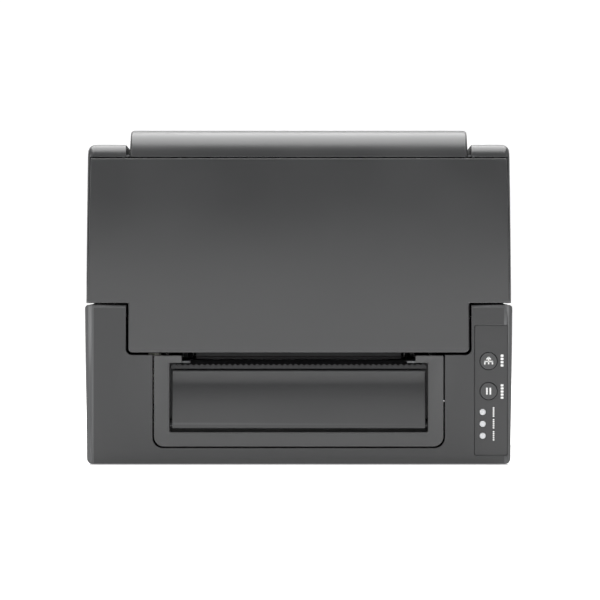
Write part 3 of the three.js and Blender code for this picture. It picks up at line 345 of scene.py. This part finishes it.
# %% Put a finished mesh in the scene
def place_piece(name, bm, body, finish, stands_for=(), smooth=True):
    bmesh.ops.scale(bm, vec=(MM, MM, MM), verts=bm.verts[:])
    mesh = bpy.data.meshes.new(name)
    bm.to_mesh(mesh)
    bm.free()
    for face in mesh.polygons:
        face.use_smooth = smooth
    mesh.materials.append(finish)
    obj = bpy.data.objects.new(name, mesh)
    bpy.context.scene.collection.objects.link(obj)
    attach(obj, body)
    if stands_for:
        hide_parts(*stands_for)
    print(name, len(mesh.polygons), "faces")
    return obj


def thicken(obj, wall):
    """Gives an open skin its wall, on the inner side."""
    shell = obj.modifiers.new("wall", "SOLIDIFY")
    shell.thickness = wall * MM
    shell.offset = -1


def round_edges(obj, radius, segments=3, angle=38):
    """Rounds every edge that turns by more than angle degrees."""
    edge = obj.modifiers.new("edge", "BEVEL")
    edge.width = radius * MM
    edge.segments = segments
    edge.limit_method = "ANGLE"
    edge.angle_limit = math.radians(angle)
    even = obj.modifiers.new("even", "WEIGHTED_NORMAL")
    even.keep_sharp = True
    even.weight = 70


# %% Arcs and lines that grow a wire in the plane of Y and Z
def swing(bm, last, centre, degrees, steps):
    """Spins the wire's last point about centre (y, z), and returns the new last point."""
    out = bmesh.ops.spin(
        bm,
        geom=[last],
        cent=(last.co.x, *centre),
        axis=(1, 0, 0),
        angle=math.radians(degrees),
        steps=steps,
    )
    return out["geom_last"][0]


def draw_to(bm, last, y, z):
    end = bm.verts.new((last.co.x, y, z))
    bm.edges.new((last, end))
    return end


# %% Solids that are pushed out of a face, and blocks
def push_out(bm, faces, vec):
    """Extrudes faces by vec, as one region."""
    out = bmesh.ops.extrude_face_region(bm, geom=faces)
    end = [g for g in out["geom"] if isinstance(g, bmesh.types.BMVert)]
    bmesh.ops.translate(bm, verts=end, vec=vec)


def rod(bm, x0, x1, y, z, radius, sides=24):
    """A round bar across the printer, from x0 to x1."""
    ring = bmesh.ops.create_circle(bm, segments=sides, radius=radius, cap_ends=True)["verts"]
    across = Matrix.Rotation(math.radians(90), 3, "Y")
    bmesh.ops.rotate(bm, verts=ring, cent=(0, 0, 0), matrix=across)
    bmesh.ops.translate(bm, verts=ring, vec=(x0, y, z))
    faces = list({f for v in ring for f in v.link_faces})
    push_out(bm, faces, (x1 - x0, 0, 0))


def block(bm, x0, x1, y0, y1, z0, z1):
    size = (x1 - x0, y1 - y0, z1 - z0)
    middle = ((x0 + x1) / 2, (y0 + y1) / 2, (z0 + z1) / 2)
    place = Matrix.Translation(middle) @ Matrix.Diagonal((*size, 1))
    bmesh.ops.create_cube(bm, size=1, matrix=place)


# %% [markdown]
# ## The lid's roof
# The roof is a wide hump between two lower shoulders, with a narrow slit on each side of the hump that
# runs from front to back. It is drawn as a row of side outlines, one for each place across the lid where
# the shape turns. Each is spun as a wire, and neighbours are bridged. Half is made, mirrored, and given
# its wall.

# %% Sizes of the lid
shell_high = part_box("lid_shell")[1]
front_y, back_y = cad_box[0].y / MM, cad_box[1].y / MM
roof_top = shell_high.z / MM
shoulder_top = roof_top - 8
lid_half = shell_high.x / MM
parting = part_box("bottom_case")[1].z / MM
seam = 1.0
lid_bottom = parting + seam
lid_draft = 0.4
hump_half = 91.8
slit = 2.0
slit_floor = 168.3
panel_top = 167.6
tongue_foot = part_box("lid_front_panel")[0].z / MM
lean = 14.0
panel_arc = (panel_top - tongue_foot) / math.sin(math.radians(lean))
panel_top_y = front_y + panel_arc * (1 - math.cos(math.radians(lean)))
rear_foot = parting + 4.0
wall = 2.5
print("lid", round(2 * lid_half, 1), "wide, front curve radius", round(panel_arc, 1))


# %% One side outline of the roof
def roof_wire(bm, x, top, inset, ceiling=None):
    """The outline from the foot of the front, over the roof, to the foot of the back."""
    roll = (top - panel_top) / (1 - math.sin(math.radians(lean)))
    rear = top - rear_foot
    start = math.degrees(math.asin((lid_bottom - tongue_foot) / (panel_arc - inset)))
    first_y = front_y + panel_arc - (panel_arc - inset) * math.cos(math.radians(start))
    before = set(bm.edges)
    last = bm.verts.new((x, first_y, lid_bottom))
    last = swing(bm, last, (front_y + panel_arc, tongue_foot), start - lean, 14)
    roll_y = panel_top_y + roll * math.cos(math.radians(lean))
    roll_z = panel_top - roll * math.sin(math.radians(lean))
    last = swing(bm, last, (roll_y, roll_z), lean - 90, 14)
    last = draw_to(bm, last, back_y - rear, top - inset)
    last = swing(bm, last, (back_y - rear, top - rear), -90, 36)
    draw_to(bm, last, back_y - inset, lid_bottom)
    edges = [e for e in bm.edges if e not in before]
    if ceiling:
        for vert in {v for e in edges for v in e.verts}:
            vert.co.z = min(vert.co.z, ceiling)
    return edges


# %% The row of outlines, from the middle to the side
def rounded(x_flat, radius, top, steps=5, inward=False):
    """Outlines that turn a roof edge down (or, inward, a wall up into a roof) by a quarter round."""
    row = []
    for i in range(steps + 1):
        turn = math.radians(90 * i / steps)
        row.append((x_flat + radius * math.sin(turn), top, radius * (1 - math.cos(turn)), None))
    if inward:
        row = [(2 * x_flat - x, top, inset, None) for x, top, inset, _ in reversed(row)]
    return row


edge_round, slit_round, corner_round = 1.6, 0.5, 4.0
slit_growth = 0.016
outlines = (
    [(0.0, roof_top, 0.0, None)]
    + rounded(hump_half - edge_round, edge_round, roof_top)
    + [(hump_half + 0.3, shoulder_top, 0.0, slit_floor)]
    + [(hump_half + slit, shoulder_top, 0.0, slit_floor)]
    + rounded(hump_half + slit + 0.1 + slit_round, slit_round, shoulder_top, inward=True)
    + rounded(lid_half - corner_round, corner_round, shoulder_top, steps=8)
)


def roof_half():
    bm = bmesh.new()
    row = [roof_wire(bm, *outline) for outline in outlines]
    for one, other in zip(row, row[1:]):
        bmesh.ops.bridge_loops(bm, edges=one + other)
    ends = [v for v in bm.verts if v.is_boundary and abs(v.co.z - lid_bottom) < 0.01]
    side = max(v.co.x for v in ends)
    foot = [v for v in ends if abs(v.co.x - side) < 0.01]
    closing = bm.edges.new(foot)
    bmesh.ops.contextual_create(bm, geom=row[-1] + [closing])
    return bm


def lean_sides(bm):
    """Leans the sides in as they rise, and lets the slits grow a little wider towards the back."""
    for vert in bm.verts:
        share = (vert.co.z - lid_bottom) / (shoulder_top - lid_bottom)
        if vert.co.x > hump_half + 5:
            vert.co.x -= lid_draft * share
        elif vert.co.x > hump_half + slit - 0.01:
            vert.co.x += slit_growth * (vert.co.y - panel_top_y)


# %% Open the roof for the front panel and for the hinge
def cut_at(bm, point, normal):
    geometry = bm.verts[:] + bm.edges[:] + bm.faces[:]
    bmesh.ops.bisect_plane(bm, geom=geometry, dist=0.001, plane_co=point, plane_no=normal)


panel_rim = 0.6
rim_growth = 0.7
panel_gap = 0.2
knuckle = (97.3, 106.7, parting + 9.5)
end_zone = 115.0


def open_roof(bm):
    """Takes away the front, where the panel goes, and two openings for the hinge's knuckles."""
    slope = (lid_draft + rim_growth) / (shoulder_top - lid_bottom)
    cut_at(bm, (lid_half - panel_rim, 0, lid_bottom), (1, 0, slope))
    cut_at(bm, (0, 0, panel_top - panel_gap), (0, 0, 1))
    cut_at(bm, (0, 0, knuckle[2]), (0, 0, 1))
    for x in knuckle[:2]:
        cut_at(bm, (x, 0, 0), (1, 0, 0))
    gone = []
    for face in bm.faces:
        middle = face.calc_center_median()
        edge = lid_half - panel_rim - slope * (middle.z - lid_bottom)
        in_front = middle.y < -end_zone and middle.z < panel_top - panel_gap and middle.x < edge
        in_knuckle = knuckle[0] < middle.x < knuckle[1] and middle.z < knuckle[2]
        if in_front or (in_knuckle and middle.y > end_zone):
            gone.append(face)
    bmesh.ops.delete(bm, geom=gone, context="FACES")


def roof():
    bm = roof_half()
    lean_sides(bm)
    open_roof(bm)
    bmesh.ops.mirror(bm, geom=bm.verts[:] + bm.edges[:] + bm.faces[:], axis="X", merge_dist=0.001)
    bmesh.ops.remove_doubles(bm, verts=bm.verts[:], dist=0.02)
    bmesh.ops.recalc_face_normals(bm, faces=bm.faces[:])
    top_face = max(bm.faces, key=lambda f: f.calc_center_median().z)
    if top_face.normal.z < 0:
        bmesh.ops.reverse_faces(bm, faces=bm.faces[:])
    obj = place_piece("lid_roof", bm, "lid", lid_casing, ["lid_shell"])
    thicken(obj, wall)
    round_edges(obj, 0.4, 2)
    return obj


roof()


# %% [markdown]
# ## The lid's front panel
# The front of the lid is one curved panel with a wide tongue that reaches down between the front columns.
# It is cut flat from its outline, its tongue's corners are rounded, and it is then sliced into strips,
# thickened, and bent back along one long arc, as a sheet is bent over a former.

# %% The curved panel
def bend_back(bm):
    """Turns height above the tongue's foot into height on the arc of the front."""
    for vert in bm.verts:
        radius = panel_arc - vert.co.y
        rise = vert.co.z - tongue_foot
        vert.co.y = front_y + panel_arc - math.sqrt(radius**2 - rise**2)


def front_panel():
    bm = bmesh.new()
    low_half, high_half = lid_half - 0.9, lid_half - 2.0
    tongue, top = 92.4, panel_top - 1.0
    points = [
        (-tongue, tongue_foot),
        (tongue, tongue_foot),
        (tongue, lid_bottom),
        (low_half, lid_bottom),
        (high_half, top),
        (-high_half, top),
        (-low_half, lid_bottom),
        (-tongue, lid_bottom),
    ]
    verts = [bm.verts.new((x, 0, z)) for x, z in points]
    bm.faces.new(verts)
    bmesh.ops.bevel(
        bm,
        geom=verts[:2],
        offset=2.5,
        offset_type="OFFSET",
        segments=8,
        profile=0.5,
        affect="VERTICES",
        material=-1,
    )
    strips = 30
    for i in range(1, strips):
        cut_at(bm, (0, 0, tongue_foot + (top - tongue_foot) * i / strips), (0, 0, 1))
    cut_at(bm, (0, 0, lid_bottom), (0, 0, 1))
    for side in (-tongue, tongue):
        cut_at(bm, (side, 0, 0), (1, 0, 0))
    bmesh.ops.recalc_face_normals(bm, faces=bm.faces[:])
    bm.faces.ensure_lookup_table()
    if bm.faces[0].normal.y > 0:
        bmesh.ops.reverse_faces(bm, faces=bm.faces[:])
    bmesh.ops.solidify(bm, geom=bm.faces[:], thickness=wall)
    lowest = min(v.co.y for v in bm.verts)
    bmesh.ops.translate(bm, verts=bm.verts[:], vec=(0, -lowest, 0))
    bend_back(bm)
    bmesh.ops.recalc_face_normals(bm, faces=bm.faces[:])
    obj = place_piece("lid_front", bm, "lid", lid_casing, ["lid_front_panel"])
    round_edges(obj, 0.7, 4)
    return obj


front_panel()


# %% [markdown]
# ## Inside the lid
# Below the roof the lid has a hinge barrel in three lengths, two latch tongues and a thin skirt
# that slips inside the case. They are seen only when the lid is up.

# %% Barrels, tongues and skirt
hinge_y = 134.8
barrel_radius = 8.0


def lid_fittings():
    bm = bmesh.new()
    inner_end, outer_end = knuckle[:2]
    outer = lid_half - 0.1
    for x0, x1 in ((-inner_end, inner_end), (outer_end, outer), (-outer, -outer_end)):
        rod(bm, x0, x1, hinge_y, parting, barrel_radius, sides=48)
    tongue = (106.5, 108.5, -97, -85, parting - 12, parting + 21)
    tongue_root = (106.5, 112.3, -97, -85, parting + 4, parting + 21)
    skirt = (109.8, 111.7, -124, 121, parting - 4, parting + 9)
    for side in (-1, 1):
        for x0, x1, *rest in (tongue, tongue_root, skirt):
            block(bm, *sorted((side * x0, side * x1)), *rest)
    bmesh.ops.recalc_face_normals(bm, faces=bm.faces[:])
    obj = place_piece("lid_fittings", bm, "lid", inner)
    round_edges(obj, 0.4, 2)
    return obj


lid_fittings()


# %% [markdown]
# ## The liner flap
# Between the front columns a flap hides the opening where spent backing paper comes out.
# Seen from the side it leans back as it rises and then flares forward into a lip for a finger.
# Its section is drawn once with a few curves, pulled across the printer, and its ends are rounded.

# %% The flap's section, pulled to its width
from mathutils.geometry import interpolate_bezier


def curve(start, first, second, end, steps=14):
    """Points along one curve from start to end, leaving out the last."""
    points = [Vector((y, z, 0)) for y, z in (start, first, second, end)]
    return [(p.x, p.y) for p in interpolate_bezier(*points, steps)][:-1]


def liner_flap():
    bm = bmesh.new()
    axis_y, axis_z = front_y + 4, 21.5
    height, foot, lip, root = 30.1, 3.2, 0.7, 1.6
    waist = height - 8.2
    section = (
        [(root, 0), (1.2, height - 1)]
        + curve((1.15, height - 0.6), (1.1, height - 0.1), (0.8, height), (0.3, height), 5)
        + curve((0.3, height), (-0.4, height), (-lip, height - 0.4), (-lip, height - 1.1), 8)
        + curve((-lip, height - 1.1), (-0.25, height - 3.2), (-0.35, waist + 2.4), (-0.9, waist), 24)
        + curve((-0.9, waist), (-2.5, waist - 7), (-foot, 8.2), (-foot, 1), 24)
        + curve((-foot, 1), (-foot, -root), (-foot, -root), (1 - foot, -root), 8)
        + [(1 - foot, -root), (0, -root)]
        + curve((0.2, -root), (1.2, -root), (root, -1.2), (root, -0.2), 6)
    )
    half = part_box("front_bezel")[1].x / MM - 9.8
    verts = [bm.verts.new((-half, axis_y + y, axis_z + z)) for y, z in section]
    push_out(bm, [bm.faces.new(verts)], (2 * half, 0, 0))
    pin_end, pin_radius = 72.1, 1.0
    rod(bm, half - 1, pin_end, axis_y, axis_z, pin_radius)
    rod(bm, -pin_end, 1 - half, axis_y, axis_z, pin_radius)
    bmesh.ops.recalc_face_normals(bm, faces=bm.faces[:])
    obj = place_piece("flap", bm, "liner_flap", flap_casing, ["liner_flap"])
    round_edges(obj, 0.6, 3, 50)
    return obj


liner_flap()


# %% [markdown]
# ## The front bezel
# A separate U-shaped frame surrounds the flap and ends in two short tabs beside the label slot.
# It is one outline with rounded outer corners, pulled back into the case, with softly rounded edges.

# %% The U-shaped frame
def flat_outline(bm, points, rounds, y):
    """A face in the plane of X and Z, with the numbered corners rounded."""
    verts = [bm.verts.new((x, y, z)) for x, z in points]
    bm.faces.new(verts)
    for corner, radius in rounds:
        bmesh.ops.bevel(
            bm,
            geom=[verts[corner]],
            offset=radius,
            offset_type="OFFSET",
            segments=10,
            profile=0.5,
            affect="VERTICES",
            material=-1,
        )


def pull_back(bm, depth):
    """Makes a solid of a flat outline, from its plane to depth behind it."""
    push_out(bm, bm.faces[:], (0, depth, 0))
    bmesh.ops.recalc_face_normals(bm, faces=bm.faces[:])


def front_bezel():
    bezel_low, bezel_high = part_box("front_bezel")
    outer, top, bottom = bezel_high.x / MM, bezel_high.z / MM, bezel_low.z / MM
    recess, slot, recess_top, recess_bottom = 70.0, 63.4, 55.4, 17.8
    points = [
        (-outer, top),
        (-outer, bottom),
        (outer, bottom),
        (outer, top),
        (slot, top),
        (slot, recess_top),
        (recess, recess_top),
        (recess, recess_bottom),
        (-recess, recess_bottom),
        (-recess, recess_top),
        (-slot, recess_top),
        (-slot, top),
    ]
    outer_round, recess_round, depth = 5.6, 1.0, 9.5
    rounds = [(1, outer_round), (2, outer_round), (7, recess_round), (8, recess_round)]
    bm = bmesh.new()
    flat_outline(bm, points, rounds, front_y)
    pull_back(bm, depth)
    obj = place_piece("bezel", bm, "base", bezel_casing, ["front_bezel"])
    round_edges(obj, 0.7, 4)
    return obj


front_bezel()


# %% [markdown]
# Two small dark webs behind the ends of the flap close the view past it into the case, so that the gaps
# beside the flap hold painted shade.
# They stand half a millimetre behind the bezel, clear of the flap's swing and of the cheeks of the print
# chassis.

# %% Dark webs behind the ends of the flap, as painted shade
def flap_shade_webs():
    bm = bmesh.new()
    near, far, behind, thick, foot, top = 66.3, 71.5, 10.0, 1.0, 25.0, 57.0
    web_y = front_y + behind
    for side in (-1, 1):
        block(bm, *sorted((side * near, side * far)), web_y, web_y + thick, foot, top)
    # The dark webs stand in for the shade in the gaps at the flap's ends.
    obj = place_piece("flap_shade_webs", bm, "base", inner, smooth=False)
    round_edges(obj, 0.2, 2)
    return obj


flap_shade_webs()


# %% [markdown]
# ## The front moulding
# The two columns and the sill between them are one moulding, with a notch for the lid's tongue.
# The frame's piece already has the right pocket and holes. A copy of it is merged and cleared of needless
# edges, its notch gets round corners, and its front edges are rolled over as on a real moulding.

# %% Copy, merge and roll the edges
def chosen_edges(bm, test):
    return [e for e in bm.edges if all(test(v.co) for v in e.verts)]


def roll_over(bm, edges, radius, segments):
    bmesh.ops.bevel(
        bm,
        geom=edges,
        offset=radius,
        offset_type="OFFSET",
        segments=segments,
        profile=0.5,
        affect="EDGES",
        material=-1,
        clamp_overlap=False,
    )


def merged_copy(node):
    bm = bmesh.new()
    bm.from_mesh(frame["nodes"][node].data)
    bmesh.ops.scale(bm, vec=(1 / MM, 1 / MM, 1 / MM), verts=bm.verts[:])
    bmesh.ops.remove_doubles(bm, verts=bm.verts[:], dist=0.002)
    bmesh.ops.dissolve_limit(
        bm, angle_limit=math.radians(0.4), verts=bm.verts[:], edges=bm.edges[:]
    )
    return bm


def front_moulding():
    bm = merged_copy("front_fascia")
    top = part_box("front_fascia")[1].z / MM
    notch_half, notch_floor = 93.7, 59.7
    near, on_front = 0.1, front_y + 0.01

    def in_notch(p):
        return abs(abs(p.x) - notch_half) < near and abs(p.z - notch_floor) < near

    roll_over(bm, chosen_edges(bm, in_notch), 3.4, 8)
    rim = chosen_edges(bm, lambda p: p.y < on_front and p.z > top - 0.01)
    roll_over(bm, rim, 1.6, 5)
    outline = chosen_edges(bm, lambda p: p.y < on_front and p.z < top - 1.0)
    sharp = [e for e in outline if len(e.link_faces) == 2 and e.calc_face_angle(0) > 0.9]
    roll_over(bm, sharp, 0.45, 3)
    obj = place_piece("front_moulding", bm, "base", casing, ["front_fascia"])
    even = obj.modifiers.new("even", "WEIGHTED_NORMAL")
    even.weight = 80
    return obj


front_moulding()


# %% [markdown]
# ## The control strip
# The strip is a printed film in a shallow pocket: two round keys with white signs and three small lenses.
# Beside each of them stands a short line of print, which is kept here as plain dashes without words.
# The ink is a hair thick, so each mark is a thin raised shape on the face that carries it.

# %% Ink marks
ink_thick = 0.06


def bar(bm, x, z, width, height, y, tilt=0):
    """One flat mark with rounded ends."""
    made = bmesh.ops.create_grid(bm, x_segments=1, y_segments=1, size=0.5)["verts"]
    bmesh.ops.scale(bm, verts=made, vec=(width, height, 1))
    short = 0.3 * min(width, height)
    made = bmesh.ops.bevel(
        bm,
        geom=made,
        offset=short,
        offset_type="OFFSET",
        segments=3,
        profile=0.5,
        affect="VERTICES",
        material=-1,
    )["verts"]
    turn = Matrix.Rotation(math.radians(90), 4, "X") @ Matrix.Rotation(math.radians(tilt), 4, "Z")
    bmesh.ops.transform(bm, verts=made, matrix=Matrix.Translation((x, y, z)) @ turn)


def print_marks(name, body, marks, y):
    bm = bmesh.new()
    for mark in marks:
        bar(bm, *mark[:4], 0, *mark[4:])
    bmesh.ops.recalc_face_normals(bm, faces=bm.faces[:])
    push_out(bm, bm.faces[:], (0, -ink_thick, 0))
    bmesh.ops.translate(bm, verts=bm.verts[:], vec=(0, y, 0))
    bmesh.ops.recalc_face_normals(bm, faces=bm.faces[:])
    return place_piece(name, bm, body, white_ink, smooth=False)


key_x = 102.9
feed_z, pause_z = 56.4, 40.1
key_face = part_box("feed_button")[0].y / MM + 0.01
film_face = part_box("control_overlay")[0].y / MM + 0.01
stroke = 0.75
feed_sign = [
    (key_x, feed_z - 0.2, 4.9, stroke),
    (key_x, feed_z - 0.8, stroke, 1.9),
    (key_x, feed_z + 0.6, stroke, 1.7),
]
for side in (-1, 1):
    feed_sign.append((key_x + side * 2.05, feed_z - 0.95, 0.8, 1.8))
    feed_sign.append((key_x + side * 0.55, feed_z + 1.55, 1.9, stroke, side * -45))
pause_sign = [(key_x + side * 0.93, pause_z, 0.9, 3.8) for side in (-1, 1)]
print_marks("feed_sign", "feed_button", feed_sign, key_face)
print_marks("pause_sign", "pause_button", pause_sign, key_face)


# %% Dashes in place of words
def dashes(x, z, length, height, count):
    """A line of equal dashes that runs upwards beside a key or a lamp, over the given length."""
    gap_share = 0.35
    dash = length / (count + gap_share * (count - 1))
    step = dash * (1 + gap_share)
    first = z - length / 2 + dash / 2
    return [(x, first + i * step, height, dash) for i in range(count)]


key_words_x, lamp_words_x = 110.2, 105.6
captions = dashes(key_words_x, feed_z + 0.3, 6.6, 1.6, 4)
captions += dashes(key_words_x, pause_z - 0.2, 7.9, 1.6, 5)
for lamp in ("led_ready", "led_error", "led_ribbon"):
    lamp_low, lamp_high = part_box(lamp)
    captions += dashes(lamp_words_x, (lamp_low.z + lamp_high.z) / 2 / MM, 5.2, 0.9, 5)
print_marks("caption_dashes", "base", captions, film_face)


# %% [markdown]
# ## Floor, light and camera
# A product like this is shown on a white sweep: a floor that curves up into a wall, so no corner shows.
# The wall glows a little to stay white. A broad light overhead brightens the rolled edges of the roof,
# and the white floor sends light back up the lower half of the front.

# %% The white sweep
def glow_white():
    f = Finish("studio_white")
    paper = f.noise(0.3, 2.0)
    tone = f.mix(paper, rgb(0.84), rgb(0.88))
    gloss = f.span(paper, 0.3, 0.7, 0.75, 0.85)
    return f.surface(Base_Color=tone, Roughness=gloss, Emission_Color=rgb(1.0), Emission_Strength=0.5)


def sweep():
    bm = bmesh.new()
    reach, front, back, bend, wall_rise = 3.4, -3.2, 2.6, 0.6, 3.4
    wire = [bm.verts.new((0, y, 0)) for y in (front, back)]
    bm.edges.new(wire)
    swing(bm, wire[1], (back, bend), 90, 16)
    top = max(bm.verts, key=lambda v: v.co.z)
    bm.edges.new((top, bm.verts.new(top.co + Vector((0, 0, wall_rise)))))
    out = bmesh.ops.extrude_edge_only(bm, edges=bm.edges[:])
    side = [g for g in out["geom"] if isinstance(g, bmesh.types.BMVert)]
    bmesh.ops.translate(bm, verts=side, vec=(2 * reach, 0, 0))
    bmesh.ops.translate(bm, verts=bm.verts[:], vec=(-reach, 0, 0))
    bmesh.ops.recalc_face_normals(bm, faces=bm.faces[:])
    mesh = bpy.data.meshes.new("studio_sweep")
    bm.to_mesh(mesh)
    bm.free()
    obj = bpy.data.objects.new("studio_sweep", mesh)
    bpy.context.scene.collection.objects.link(obj)
    mesh.materials.append(glow_white())
    for face in mesh.polygons:
        face.use_smooth = True
    return obj


sweep()


# %% Soft lights
def soft_light(name, size, place, aim, power):
    data = bpy.data.lights.new(name, "AREA")
    data.shape = "RECTANGLE"
    data.size, data.size_y = size
    data.energy = power
    obj = bpy.data.objects.new(name, data)
    obj.location = place
    obj.rotation_euler = (Vector(aim) - Vector(place)).to_track_quat("-Z", "Y").to_euler()
    bpy.context.scene.collection.objects.link(obj)


soft_light("light_above", (1.8, 1.7), (0, 0.30, 1.3), (0, 0.30, 0), 60)
soft_light("light_low", (2.4, 0.85), (0, -2.9, 0.45), (0, 0, 0.2), 14)
soft_light("light_left", (0.6, 1.0), (-1.8, -0.3, 0.6), (0, 0, 0.08), 7)
soft_light("light_right", (0.6, 1.0), (1.8, -0.3, 0.6), (0, 0, 0.08), 3)
world = bpy.data.worlds.new("studio_air")
world.use_nodes = True
air = world.node_tree.nodes["Background"]
air.inputs["Color"].default_value = rgb(1.0)
air.inputs["Strength"].default_value = 0.05
bpy.context.scene.world = world
print("lights", sorted(light.name for light in bpy.data.lights))
bpy.context.scene.view_settings.view_transform = "Standard"


# %% [markdown]
# The camera is a long lens a little above the middle of the front, so that the sides stay almost parallel.

# %% The camera
camera_data = bpy.data.cameras.new("front_camera")
camera = bpy.data.objects.new("front_camera", camera_data)
bpy.context.scene.collection.objects.link(camera)
distance, rise = 2.6, 0.022
seen_width, sensor_width = 0.325, 36
aim = Vector((0.0007, cad_box[0].y, 0.0895))
camera.location = aim + Vector((0, -distance, rise))
camera.rotation_euler = (aim - camera.location).to_track_quat("-Z", "Y").to_euler()
camera_data.sensor_width = sensor_width
camera_data.lens = sensor_width * distance / seen_width
camera_data.clip_end = 20
bpy.context.scene.camera = camera
print("camera at", [round(v, 3) for v in camera.location])
